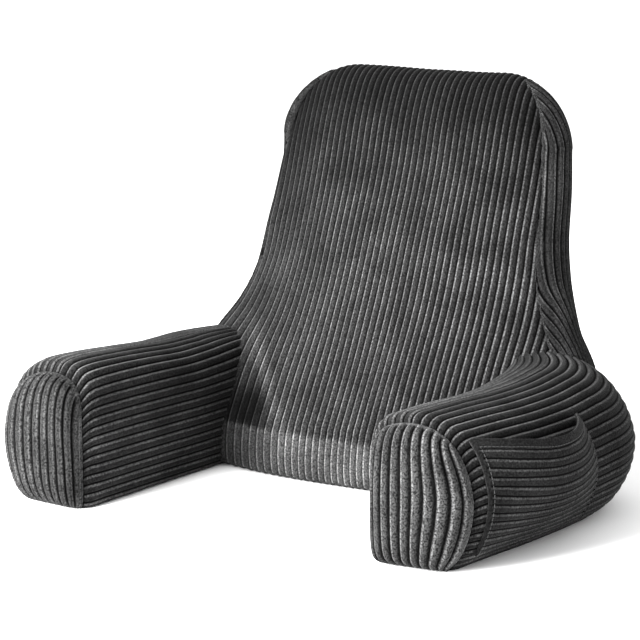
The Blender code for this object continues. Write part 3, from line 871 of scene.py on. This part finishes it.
def backrest_painted_light(rows, points):
    """Painted light and shade on the backrest: lighter on the foot band, darker towards the top,
    behind and towards the sides.
    """
    run = run_length(rows)
    crest = run[int(np.argmax(rows[:, 1]))]
    band = run[int(np.argmax(rows[:, 1] >= CREASE_HEIGHT))]
    painted_light_levels = (
        # place along the section, painted light and shade
        (0.0, 2.15),
        (band - 0.003, 2.15),
        (band + 0.003, 0.90),
        (0.50 * crest, 1.00),
        (0.75 * crest, 0.62),
        (0.90 * crest, 0.24),
        (crest, 0.20),
        (crest + 0.03, 0.35),
        (crest + 0.10, 0.90),
    )
    painted_light = np.interp(run, *np.transpose(painted_light_levels))[None, :]
    x, z = points[..., 0], points[..., 2]
    # Painted shade towards the sides.
    painted_light = painted_light * (1.0 - SIDE_PAINTED_SHADE * limited(np.abs(x - 0.02) / NECK_HALF_WIDTH) ** 2)
    front = run[None, :] < crest
    above = front * limited((z - CREASE_HEIGHT) / 0.002)
    # Painted shadow in the dent above the crease, painted light beside it and on the foot band.
    for lighter, across, up, width, height, slant, on_band in PAINTED_LIGHT_PATCHES:
        away = (x + slant * (z - 0.10) - across) / width, (z - up) / height
        patch = np.exp(-(away[0] ** 2) - away[1] ** 2)
        painted_light = painted_light + lighter * patch * (front - above if on_band else above)
    return np.maximum(painted_light, DARKEST_PAINTED_SHADE)


def backrest_cloth(sizes):
    """The backrest's run of cloth: ribs fan on its left half and stay straight on its right."""
    rows = backrest_rows()
    half = NECK_HALF_WIDTH / sizes.rib_pitch
    left = np.arange(-round(half * RIB_SAMPLES), 0) / RIB_SAMPLES
    widest = SEAM_WIDTHS[0][1] / sizes.rib_pitch
    right = np.arange(0, math.ceil(widest * RIB_SAMPLES) + 1) / RIB_SAMPLES
    fan = (left / half)[:, None] + 0 * rows[:, 1][None, :]
    straight = straight_share((right * sizes.rib_pitch)[:, None], rows)
    share = np.vstack([fan, straight])
    phase = np.concatenate([left, right])[:, None]
    points = backrest_points(share, rows)
    step = 0.004
    across = backrest_points(share + step, rows) - backrest_points(share - step, rows)
    normals = unit(np.cross(across, np.gradient(points, axis=1)))
    height = squeezed(share * NECK_HALF_WIDTH, rows[:, 1][None, :])
    crest = int(np.argmax(rows[:, 1]))
    front = ((rows[:, 0] < LAP_DEPTH) & (np.arange(len(rows)) < crest))[None, :]
    lap = read(STRIP_LAPS, 1, height) / read(SEAM_WIDTHS, 1, height) * (share > 0.0) * front
    seam = backrest_points(np.sign(share + 1e-9) * (1.0 - lap), rows)
    distance = np.linalg.norm(points - seam, axis=-1)
    upper_left = limited((points[..., 2] - LEFT_CORNER_START) / LEFT_CORNER_BLEND)
    loss = LEFT_CORNER_TUCK_LOSS * upper_left * (points[..., 0] < 0.0)
    points = tucked(points, normals, distance, FRONT_TUCK * (1.0 - loss))
    points += normals * (sizes.unevenness * bumps(points, pitch=0.11, seed=3))[..., None]
    points = blown(points, most=0.005, cells=44)
    beyond = (share - 1.0 + lap) * read(SEAM_WIDTHS, 1, height) / LAP_SINK_REACH
    covered = limited(beyond) * (lap > 0.0)
    points = points - normals * (LAP_SINK * covered)[..., None]
    foot = limited(1.0 - rows[:, 1] / FOOT_RADIUS)
    round_in = FOOT_RADIUS * (1.0 - np.sqrt(1.0 - foot**2))
    inward = np.where(rows[:, 0] < 0.5 * BASE_DEPTH, 1.0, -1.0)
    points[..., 1] += (round_in * inward)[None, :]
    points[..., 2] = np.maximum(points[..., 2], 0.0)
    return rows, points, phase, distance


def make_backrest():
    """The backrest in one run of cloth, closed at its foot and behind the side strips."""
    sizes = bpy.context.scene.pillow_sizes
    rows, points, phase, distance = backrest_cloth(sizes)
    run = run_length(rows)
    uv = stacked(phase * sizes.rib_pitch, run[None, :])
    cloth = Cloth()
    band = limited((CREASE_HEIGHT - points[..., 2]) / BAND_BLEND) * (points[..., 1] < 0.0)
    fade = np.clip(distance / SEAM_FADE_REACH, SEAM_FADE, 1.0) * (1.0 - BAND_FADE * band)
    numbers = cloth.add(points, phase, fade, backrest_painted_light(rows, points), uv)
    cloth.join(numbers)
    cloth.join(np.stack([numbers[:, 0], numbers[:, -1]]))
    half = len(rows) // 2
    for side in (numbers[0], numbers[-1]):
        cloth.join(np.stack([side[:half], side[::-1][:half]]))
    material = corduroy("plush corduroy, backrest", painted_lightness=0.62, line=1.0, grain=0.62)
    return ribbed("backrest_cloth", cloth, sizes.rib_depth, material)


# Side strips.


def front_depth(height):
    """Depth of the backrest's front on the middle line, by the unsqueezed height."""
    rows = [(0.0, 0.0), (0.5 * CREASE_HEIGHT, -BAND_CROWN), (CREASE_HEIGHT, 0.0)]
    rows += [(level, lean_depth(level)) for level in LEAN_HEIGHTS]
    return np.interp(height, *np.transpose(rows))


def back_depth(height):
    """Depth of the backrest's back on the middle line, by the unsqueezed height."""
    depths, heights = np.transpose(BACK[::-1])
    return np.interp(height, heights, depths)


def eased(values, reach):
    """A row of values without its sudden bends: each becomes the mean of its neighbours."""
    for _ in range(2):
        padded = np.pad(values, reach, mode="reflect", reflect_type="odd")
        values = np.convolve(padded, np.ones(2 * reach + 1) / (2 * reach + 1), mode="valid")
    return values


def strip_stations():
    """Places along the side outline: point, outward direction, front and rear edge, taper."""
    corner = HEIGHT - TOP_CORNER_RADIUS
    heights = np.linspace(GUSSET_FOOT_HEIGHT, corner, 90)
    width = read(SEAM_WIDTHS, 1, heights)
    slope = np.gradient(width, heights)
    outward = unit(stacked(1.0, -slope))
    stretch = (HEIGHT - SQUEEZE_START) / (corner - SQUEEZE_START)
    unsqueezed = SQUEEZE_START + (heights - SQUEEZE_START) * stretch
    level = np.where(heights > SQUEEZE_START, unsqueezed, heights)
    front = front_depth(np.minimum(level, LEAN_HEIGHTS[-1])) + read(SIDE_DRAWS, 1, heights)
    rear = back_depth(level) - read(SIDE_DRAWS, 2, heights)
    side = np.column_stack([width, heights, outward, front, rear, np.ones_like(width)])
    part = np.linspace(0.0, 1.0, 60)[1:]
    angle = STRIP_CORNER_TURN * part
    out = stacked(np.cos(angle), np.sin(angle))
    centre = np.array([NECK_HALF_WIDTH - TOP_CORNER_RADIUS, corner])
    place = centre + out * TOP_CORNER_RADIUS
    taper = 1.0 - 0.85 * part**1.5
    reach = 0.5 * (rear[-1] - front[-1]) * (0.10 + 0.90 * taper)
    middle = 0.5 * (front[-1] + rear[-1]) + 0.010 * part
    corner_rows = np.column_stack([place, out, middle - reach, middle + reach, taper])
    rows = np.vstack([side, corner_rows])
    for column in (4, 5):
        rows[:, column] = eased(rows[:, column], STRIP_EASE)
    return rows


def make_side_strip(word, side):
    """A strip whose ribs follow the outline and end at its front seam."""
    sizes = bpy.context.scene.pillow_sizes
    rows = strip_stations()
    place, out, front, rear, taper = rows[:, :2], rows[:, 2:4], rows[:, 4], rows[:, 5], rows[:, 6]
    lap = read(STRIP_LAPS, 1, place[:, 1]) * taper * max(side, 0.0)
    total = rear - front + lap
    finer = 1.0 if side > 0 else LEFT_STRIP_FINER
    ends = finer * read(STRIP_RIBS, 1, place[:, 1]) * (0.25 + 0.75 * taper)
    phase = (np.arange(round(finer * STRIP_RIBS[0][1] * RIB_SAMPLES) + 1) / RIB_SAMPLES)[:, None]
    back = np.minimum(phase / ends[None, :], 1.0) * total[None, :]
    over = np.maximum(back - (rear - front)[None, :], 0.0)
    body = back - over
    ahead = total[None, :] - back
    share = body / (rear - front)[None, :]
    crown = GUSSET_CROWN * (1.0 if side > 0 else LEFT_STRIP_CROWN)
    crown = crown * (0.10 + 0.90 * taper**2)[None, :]
    rise = crown * (1.0 - (2 * share**1.25 - 1) ** 2)
    rear_near = limited(1.0 - back / SEAM_TUCK_REACH)
    front_near = limited(1.0 - ahead / SEAM_TUCK_REACH)
    tuck = SEAM_TUCK * (0.2 + 0.8 * taper)[None, :]
    rise = rise - tuck * (rear_near**2 + STRIP_FRONT_TUCK[word] * front_near**2)
    slope = np.arctan(DRAW_POWER * read(SIDE_DRAWS, 1, place[:, 1]) / place[:, 0])[None, :]
    level = place[None, :, :] + out[None, :, :] * (rise - over * np.cos(slope))[..., None]
    lift = (STRIP_RISE + STRIP_LIFT * (1.0 - front_near**2)) * limited(over / LAP_BLEND)
    depth = FRONT_Y + rear[None, :] - body - over * np.sin(slope) - lift
    points = stacked(side * level[..., 0], depth, level[..., 1])
    points[..., 0] += side * sizes.unevenness * bumps(points, pitch=0.09, seed=5)
    points = blown(points, most=0.002)
    sunk = GUSSET_SINK * (0.45 + 0.55 * taper)[None, :, None] * out[None]
    inner = np.stack([level[0], level[-1]]) - sunk
    inner = stacked(side * inner[..., 0], depth[[0, -1]], inner[..., 1])
    inner[1, :, 1] += 0.5 * lap
    run = run_length(place)
    uv = stacked(phase * sizes.rib_pitch, run[None, :])
    cloth = Cloth()
    fade = np.clip(back / SEAM_FADE_REACH, SEAM_FADE, 1.0)
    # Painted shade along the strip's front seam.
    painted_light = STRIP_PAINTED_LIGHT - STRIP_SEAM_PAINTED_SHADE[word] * limited(1.5 - ahead / SEAM_TUCK_REACH)
    outer = cloth.add(points, phase, fade, painted_light, uv)
    under = cloth.add(inner[::-1], 0.5, 0.0)
    ring = np.vstack([outer, under])
    cloth.join(ring, around=True)
    looks = {"painted_lightness": 0.70, "line": 1.1, "grain": 0.65, "ground": 0.26}
    material = corduroy("plush corduroy, side strips", **looks)
    return ribbed("side_strip_" + word, cloth, STRIP_DEPTH * sizes.rib_depth, material)


# Arms.


def arm_outline(width, height, draw, count):
    """Evenly spaced points round an arm, from the inner foot over the top to the outer one."""
    table = np.array(ARM_SECTION)
    across = draw + table[:, 0] * (width - 2 * draw)
    return evenly(smooth_curve(np.column_stack([across, table[:, 1] * (height - draw)])), count)


def arm_row(share, side):
    """Width, height and draw-in of an arm at a share of its length."""
    height_column = 2 if side < 0 else 3
    return [float(read(ARM_STATIONS, column, share)) for column in (1, height_column, 4)]


def arm_run(n, z, share):
    """Points on the straight part of an arm, at a share of its length."""
    skewed = ARM_LENGTH - n * math.tan(CAP_SKEW)
    return stacked(n, -(1.0 - share) * skewed, z)


def arm_turn(n, z, angle):
    """Points on the part of an arm that turns behind the backrest."""
    radius = ARM_TURN_RADIUS + n
    back = ARM_INNER_REACH * limited(1.0 - n / ARM_STATIONS[-1][1]) ** 2
    x = radius * math.cos(angle) - ARM_TURN_RADIUS
    return stacked(x, (radius + back) * math.sin(angle), z)


def arm_rings(count, side):
    """Rings of points along an arm, before it is placed."""
    rings = []
    shares = np.concatenate([np.linspace(0.0, 0.06, 16)[:-1], np.linspace(0.06, 1.0, ARM_ROWS)])
    for share in shares:
        outline = arm_outline(*arm_row(share, side), count)
        rings.append(arm_run(outline[:, 0], outline[:, 1], share))
    width, height, draw = arm_row(1.0, side)
    end_height = LEFT_TURN_HEIGHT if side < 0 else RIGHT_TURN_HEIGHT
    for part in np.linspace(0.0, 1.0, TURN_ROWS)[1:]:
        outline = arm_outline(width, height + (end_height - height) * part, draw, count)
        rings.append(arm_turn(outline[:, 0], outline[:, 1], 0.5 * math.pi * part))
    return np.array(rings)


def make_arm(word, side):
    """An arm with lengthwise ribs, which turn the corner behind the backrest."""
    sizes = bpy.context.scene.pillow_sizes
    outline = arm_outline(*arm_row(1.0, side), OUTLINE_POINTS)
    perimeter = np.linalg.norm(np.diff(outline, axis=0), axis=1).sum()
    ribs = round(perimeter / sizes.arm_rib_pitch)
    count = ribs * RIB_SAMPLES + 1
    rings = placed(arm_rings(count, side), side)
    normals = unit(np.cross(np.gradient(rings, axis=0), np.gradient(rings, axis=1))) * -side
    uneven = 0.3 * sizes.unevenness * bumps(rings, pitch=0.10, seed=7 + side)
    rings = rings + normals * uneven[..., None]
    rings = blown(rings, most=0.004, cells=36)
    rings[..., 2] = np.maximum(rings[..., 2], 0.0)
    phase = (np.arange(count) / RIB_SAMPLES)[None, :]
    lengths = np.linalg.norm(np.diff(rings[:, count // 2], axis=0), axis=1)
    run = np.concatenate([[0.0], np.cumsum(lengths)])[:, None]
    uv = stacked(phase * sizes.arm_rib_pitch, run)
    fade = limited(rings[..., 2] / FLOOR_FADE_REACH)
    peak = round(int(np.argmax(outline[:, 1])) / OUTLINE_POINTS * ribs)
    # The painted highlight line lies on each rib's upper side, where the light from above falls.
    highlight_side = np.where(phase < peak, HIGHLIGHT_RIGHT, HIGHLIGHT_LEFT)
    # Painted highlight on the front of the top, painted shade towards the rear and near the cap's
    # seam.
    up = limited((rings[..., 2] - ARM_TOP_START) / ARM_TOP_BLEND)
    front = limited(-(rings[..., 1] + ARM_FRONT_START) / ARM_FRONT_BLEND)
    painted_light = 1.0 + ARM_FRONT_PAINTED_HIGHLIGHT * up * front - ARM_REAR_PAINTED_SHADE * (1.0 - front)
    painted_light = painted_light * limited(ARM_SEAM_PAINTED_SHADE + run / ARM_SEAM_PAINTED_SHADE_REACH)
    cloth = Cloth()
    outer = cloth.add(rings, phase, fade, painted_light, uv, highlight_side)
    steps = np.linspace(0.0, 1.0, BOTTOM_STEPS + 2)[1:-1][None, :, None]
    sole = rings[:, -1:] * (1 - steps) + rings[:, :1] * steps
    # The sole under the arm is painted a little darker.
    under = cloth.add(sole, 0.5, 0.0, 0.8)
    cloth.join(np.hstack([outer, under]).T, around=True)
    # The arms are painted darker than the backrest.
    material = corduroy("plush corduroy, arms", painted_lightness=0.48, line=1.25, grain=0.6)
    return ribbed("arm_cloth_" + word, cloth, sizes.arm_rib_depth, material)


# Caps.


def by_length(curve, shares):
    """Points at shares of a curve's length."""
    distance = run_length(curve)
    return between(shares * distance[-1], distance, curve)


def cap_net(outline, across, up):
    """Points all over an outline: across and up run from 0 to 1, and ribs run up."""
    peak = int(np.argmax(outline[:, 1]))
    inner_edge = int(np.argmin(outline[:peak, 0]))
    corner = peak + int(np.argmax(outline[peak:, 0] >= CAP_CORNER * outline[:, 0].max()))
    top_row = outline[inner_edge : corner + 1]
    n = top_row[0, 0] + (top_row[-1, 0] - top_row[0, 0]) * across
    top = stacked(n, np.interp(n, top_row[:, 0], top_row[:, 1]))[:, None]
    foot = (outline[0] + (outline[-1] - outline[0]) * across[:, None])[:, None]
    inner = by_length(outline[: inner_edge + 1], up)[None]
    outer = by_length(outline[corner:][::-1], up)[None]
    s, t = across[:, None, None], up[None, :, None]
    net = (1 - t) * foot + t * top
    net = net + (1 - s) ** SIDE_PULL * (inner - (1 - t) * foot[0, 0] - t * top[0, 0])
    return net + s**SIDE_PULL * (outer - (1 - t) * foot[-1, 0] - t * top[-1, 0])


def make_cap(word, side):
    """A crowned pad with upright ribs that closes an arm's front end."""
    sizes = bpy.context.scene.pillow_sizes
    outline = arm_outline(*arm_row(0.0, side), FINE_OUTLINE_POINTS)
    width = outline[:, 0].max() - outline[:, 0].min()
    fine = np.linspace(0.0, 1.0, 2001)
    domed = np.sqrt(1.0 - np.abs(2 * fine - 1.0) ** CAP_CROWN_ROUNDNESS)
    profile = np.column_stack([width * fine, CAP_CROWN * domed, fine])
    ribs = round(run_length(profile)[-1] / sizes.cap_rib_pitch)
    across = evenly(profile, ribs * RIB_SAMPLES + 1)[:, 2]
    up = 0.5 * (1.0 - np.cos(np.pi * np.linspace(0.0, 1.0, CAP_ROWS)))
    net = cap_net(outline, across, up)
    n, z = net[..., 0], np.maximum(net[..., 1], 0.0)
    side_fall = 1.0 - np.abs(2 * across - 1.0)[:, None] ** CAP_CROWN_ROUNDNESS
    end_fall = 1.0 - np.abs(2 * up - 1.0)[None, :] ** CAP_CROWN_ROUNDNESS
    full = np.sqrt(np.maximum(side_fall, 0.0) * np.maximum(end_fall, 0.0))
    seat = arm_run(n, z, 0.0)
    crown = CAP_CROWN * full + sizes.unevenness * bumps(seat, pitch=0.06, seed=11 + side) * full
    face = placed(seat - stacked(0.0, CAP_RIM + crown, 0.0), side)
    face = blown(face, most=0.003)
    back = placed(seat - np.array([0.0, 0.0003, 0.0]), side)
    phase = (np.arange(len(across)) / RIB_SAMPLES)[:, None]
    # Painted shade on the left cap and a painted highlight along each cap's rim.
    rim = limited(1.0 - full / CAP_RIM_SHARE)
    painted_light = CAP_PAINTED_LIGHT[word] * (1.0 + CAP_RIM_PAINTED_HIGHLIGHT * rim)
    uv = stacked(n, z)
    cloth = Cloth()
    front = cloth.add(face, phase, np.clip(full * 6.0, 0.2, 1.0), painted_light, uv)
    rear = cloth.add(back, phase, 0.0, painted_light, uv)
    cloth.back_to_back(front, rear)
    # The caps are painted lighter than the other pieces of the same corduroy.
    material = corduroy("plush corduroy, caps", painted_lightness=1.22, line=0.60, grain=0.75, ground=0.20)
    return ribbed("cap_cloth_" + word, cloth, CAP_DEPTH * sizes.arm_rib_depth, material)


# Pocket.


def outer_side(share, heights):
    """Points of the arm's outer side at some heights, and the directions out of it."""
    outline = arm_outline(*arm_row(share, 1.0), OUTLINE_POINTS)
    tangent = unit(np.gradient(outline, axis=0))
    out = np.column_stack([-tangent[:, 1], tangent[:, 0]])
    peak = int(np.argmax(outline[:, 1]))
    branch, normals = outline[peak:][::-1], out[peak:][::-1]
    n = np.interp(heights, branch[:, 1], branch[:, 0])
    return n, unit(between(heights, branch[:, 1], normals))


def pocket_sheet(parts, ups, lift):
    """Points of the pocket, lifted off its inner face; parts along it, ups up it."""
    columns = []
    for i, part in enumerate(parts):
        share = POCKET_START + (POCKET_END - POCKET_START) * part
        mouth = float(read(POCKET_MOUTH, 1, part))
        z = POCKET_BOTTOM + (mouth - POCKET_BOTTOM) * ups
        n, out = outer_side(share, z)
        belly = max(math.sin(math.pi * part), 0.0) ** 0.8
        stand = POCKET_EDGE_GAP + POCKET_STAND_OFF * belly * np.sin(0.5 * np.pi * ups) ** 1.2
        stand = stand + lift[i]
        columns.append(arm_run(n + out[:, 0] * stand, z + out[:, 1] * stand, share))
    return placed(np.array(columns), 1.0)


def make_pocket():
    """A patch of ribbed cloth on the right arm, with a hem along its sagging open mouth."""
    sizes = bpy.context.scene.pillow_sizes
    parts = 0.5 * (1.0 - np.cos(np.pi * np.linspace(0.0, 1.0, POCKET_COLUMNS)))
    rows = sizes.pocket_ribs * RIB_SAMPLES + 1
    hem = np.linspace(HEM_START, 1.0, HEM_ROWS + 1)[1:]
    ups = np.concatenate([np.linspace(0.0, HEM_START, rows), hem])
    phase = np.concatenate([np.arange(rows) / RIB_SAMPLES, np.full(HEM_ROWS, 0.5)])[None, :]
    length = (POCKET_END - POCKET_START) * ARM_LENGTH
    edge = np.minimum(parts, 1.0 - parts)[:, None] * length
    fold = FOLD_RISE * np.exp(-((edge - FOLD_PLACE) ** 2) / (2 * FOLD_WIDTH**2))
    hem_rise = limited((ups - HEM_START) / HEM_BLEND)[None, :] * HEM_RISE
    crest = POCKET_THICKNESS + RIB_RISE + fold + hem_rise
    outer = pocket_sheet(parts, ups, crest)
    inner = pocket_sheet(parts, ups, 0 * crest)
    uv = stacked(phase * sizes.arm_rib_pitch, parts[:, None] * length)
    cloth = Cloth()
    fade = limited((edge - FOLD_WIDTH) / FOLD_RISE)
    # Painted shade along the pocket's folded edges; the pocket's inner face is painted darker too.
    painted_light = limited(FOLD_PAINTED_SHADE + edge / FOLD_PAINTED_SHADE_REACH)
    front = cloth.add(outer, phase, fade, painted_light, uv, HIGHLIGHT_RIGHT)
    back = cloth.add(inner, 0.5, 0.0, 0.7, uv)
    cloth.back_to_back(front, back)
    # The pocket is painted darker than the backrest.
    material = corduroy("plush corduroy, pocket", painted_lightness=0.42, line=0.9, grain=0.55)
    return ribbed("pocket_cloth", cloth, sizes.pocket_rib_depth, material)


def make_stitches():
    """Stitches along the pocket's hem and down its two sides."""
    sizes = bpy.context.scene.pillow_sizes
    length = (POCKET_END - POCKET_START) * ARM_LENGTH
    inset = SIDE_STITCH_INSET / length
    along, up = np.linspace(inset, 1.0 - inset, 80), np.linspace(0.0, 0.97, 60)
    lift = np.full((80, 1), POCKET_THICKNESS + HEM_STITCH_LIFT)
    lines = [pocket_sheet(along, np.array([HEM_START + HEM_STITCH_PLACE]), lift)[:, 0]]
    lift = np.full((1, 60), POCKET_THICKNESS + STITCH_LIFT)
    for part in (inset, 1.0 - inset):
        lines.append(pocket_sheet(np.array([part]), up, lift)[0])
    points, edges = [], []
    for line in lines:
        first = len(points)
        points += line.tolist()
        edges += [(k, k + 1) for k in range(first, len(points) - 1)]
    mesh = bpy.data.meshes.new("pocket_stitches")
    mesh.from_pydata(points, edges, [])
    values = {"Spacing": sizes.stitch_spacing, "Length": sizes.stitch_length}
    values.update({"Width": sizes.thread_width, "Thread": thread_material()})
    return through(stitch_tree(), "pocket_stitches", mesh, values)


# Operators.

SIDES = (("left", -1.0), ("right", 1.0))


def finish_padded(piece, nodes):
    """Puts a filled piece on the frame in place of its solids."""
    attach(piece, "root")
    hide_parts(*nodes)


class PILLOW_OT_backrest(Operator):
    """Build the backrest's run of ribbed cloth"""

    bl_idname = "pillow.backrest"
    bl_label = "Backrest"

    def execute(self, context):
        finish_padded(make_backrest(), ["backrest"])
        return {"FINISHED"}


class PILLOW_OT_side_strips(Operator):
    """Build the strips along both sides of the backrest"""

    bl_idname = "pillow.side_strips"
    bl_label = "Side Strips"

    def execute(self, context):
        for word, side in SIDES:
            piece = make_side_strip(word, side)
            finish_padded(piece, ["side_gusset_" + word])
        return {"FINISHED"}


class PILLOW_OT_arms(Operator):
    """Build both arms with their lengthwise ribs"""

    bl_idname = "pillow.arms"
    bl_label = "Arms"

    def execute(self, context):
        for word, side in SIDES:
            finish_padded(make_arm(word, side), ["arm_" + word])
        return {"FINISHED"}


class PILLOW_OT_caps(Operator):
    """Build the crowned caps on the arms' front ends"""

    bl_idname = "pillow.caps"
    bl_label = "Arm Caps"

    def execute(self, context):
        for word, side in SIDES:
            finish_padded(make_cap(word, side), ["arm_cap_" + word])
        return {"FINISHED"}


class PILLOW_OT_pocket(Operator):
    """Build the side pocket with its hem and its stitched sides"""

    bl_idname = "pillow.pocket"
    bl_label = "Pocket"

    def execute(self, context):
        pocket = make_pocket()
        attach(pocket, "root")
        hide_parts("pocket")
        stitches = make_stitches()
        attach(stitches, "root")
        return {"FINISHED"}


CAMERA_AZIMUTH = math.radians(30.9)
CAMERA_ELEVATION = math.radians(10.45)
CAMERA_DISTANCE = 3.0
CAMERA_TARGET = Vector((0.0, 0.008, 0.20))
FOCAL_PIXELS = 2410.0
PICTURE_PIXELS = 640.0
SENSOR_WIDTH = 36.0
TARGET_OFFSET = (60.4, 4.7)
PILLOW_CENTRE = Vector((0.0, 0.0, 0.2))
FLOOR_REACH = 30.0
WORLD_STRENGTH = 1.30


def direction(azimuth, elevation):
    """The way from the pillow to a place around it."""
    level = math.cos(elevation)
    return Vector((math.sin(azimuth) * level, -math.cos(azimuth) * level, math.sin(elevation)))


def set_up(name, data, place, ahead):
    """Puts a light or a camera at a place and lets it look ahead."""
    made = link(name, data)
    turn = ahead.to_track_quat("-Z", "Y").to_matrix().to_4x4()
    made.matrix_world = Matrix.Translation(place) @ turn
    return made


def area_light(name, azimuth, elevation, distance, size, power):
    """A square soft light that looks at the pillow."""
    data = bpy.data.lights.new(name, "AREA")
    data.size = size
    data.energy = power
    away = direction(math.radians(azimuth), math.radians(elevation))
    set_up(name, data, PILLOW_CENTRE + away * distance, -away)


def make_camera():
    """The camera at the photograph's viewing angle."""
    back = direction(CAMERA_AZIMUTH, CAMERA_ELEVATION)
    right = Vector((math.cos(CAMERA_AZIMUTH), math.sin(CAMERA_AZIMUTH), 0.0))
    up = back.cross(right)
    place = CAMERA_TARGET + back * CAMERA_DISTANCE
    across, above = (value / FOCAL_PIXELS for value in TARGET_OFFSET)
    ahead = (-back - right * across - up * above).normalized()
    data = bpy.data.cameras.new("camera")
    data.sensor_width = SENSOR_WIDTH
    data.sensor_fit = "HORIZONTAL"
    data.lens = FOCAL_PIXELS / PICTURE_PIXELS * SENSOR_WIDTH
    bpy.context.scene.camera = set_up("camera", data, place, ahead)


class PILLOW_OT_stage(Operator):
    """Build the pale floor, the soft light and the camera"""

    bl_idname = "pillow.stage"
    bl_label = "Stage"

    def execute(self, context):
        mesh = bpy.data.meshes.new("floor")
        corners = [(x, y, 0) for x, y in ((-1, -1), (1, -1), (1, 1), (-1, 1))]
        mesh.from_pydata([Vector(c) * FLOOR_REACH for c in corners], [], [(0, 1, 2, 3)])
        floor = link("floor", mesh)
        matt, _, inputs = new_material("matt paper floor", roughness=1.0, specular=0.0)
        inputs["Base Color"].default_value = (*context.scene.pillow_colours.floor, 1.0)
        floor.data.materials.append(matt)
        world = bpy.data.worlds.new("studio")
        world.use_nodes = True
        background = world.node_tree.nodes["Background"]
        background.inputs["Color"].default_value = (1.0, 1.0, 1.0, 1.0)
        background.inputs["Strength"].default_value = WORLD_STRENGTH
        context.scene.world = world
        area_light(
            "front left light", azimuth=-26.0, elevation=22.0, distance=3.0, size=2.2, power=620.0
        )
        context.scene.view_settings.view_transform = "Standard"
        make_camera()
        return {"FINISHED"}


class PILLOW_PT_panel(Panel):
    """Lists the pillow's pieces, sizes and colours"""

    bl_idname = "PILLOW_PT_panel"
    bl_label = "Reading Pillow"
    bl_space_type = "VIEW_3D"
    bl_region_type = "UI"
    bl_category = "Pillow"

    def draw(self, context):
        for group in (context.scene.pillow_sizes, context.scene.pillow_colours):
            for key in group.__annotations__:
                self.layout.prop(group, key)
        for operator in OPERATORS:
            self.layout.operator(operator.bl_idname)


OPERATORS = (
    PILLOW_OT_backrest,
    PILLOW_OT_side_strips,
    PILLOW_OT_arms,
    PILLOW_OT_caps,
    PILLOW_OT_pocket,
    PILLOW_OT_stage,
)
CLASSES = (PillowSizes, PillowColours, *OPERATORS, PILLOW_PT_panel)


def register():
    """Registers the classes and adds the settings to the scene."""
    for kind in CLASSES:
        bpy.utils.register_class(kind)
    bpy.types.Scene.pillow_sizes = PointerProperty(type=PillowSizes)
    bpy.types.Scene.pillow_colours = PointerProperty(type=PillowColours)


def unregister():
    """Removes the settings and the classes."""
    del bpy.types.Scene.pillow_colours
    del bpy.types.Scene.pillow_sizes
    for kind in reversed(CLASSES):
        bpy.utils.unregister_class(kind)


def main():
    """Builds the pillow and its stage."""
    register()
    bpy.ops.pillow.backrest()
    bpy.ops.pillow.side_strips()
    bpy.ops.pillow.arms()
    bpy.ops.pillow.caps()
    bpy.ops.pillow.pocket()
    bpy.ops.pillow.stage()


if __name__ == "__main__":
    main()
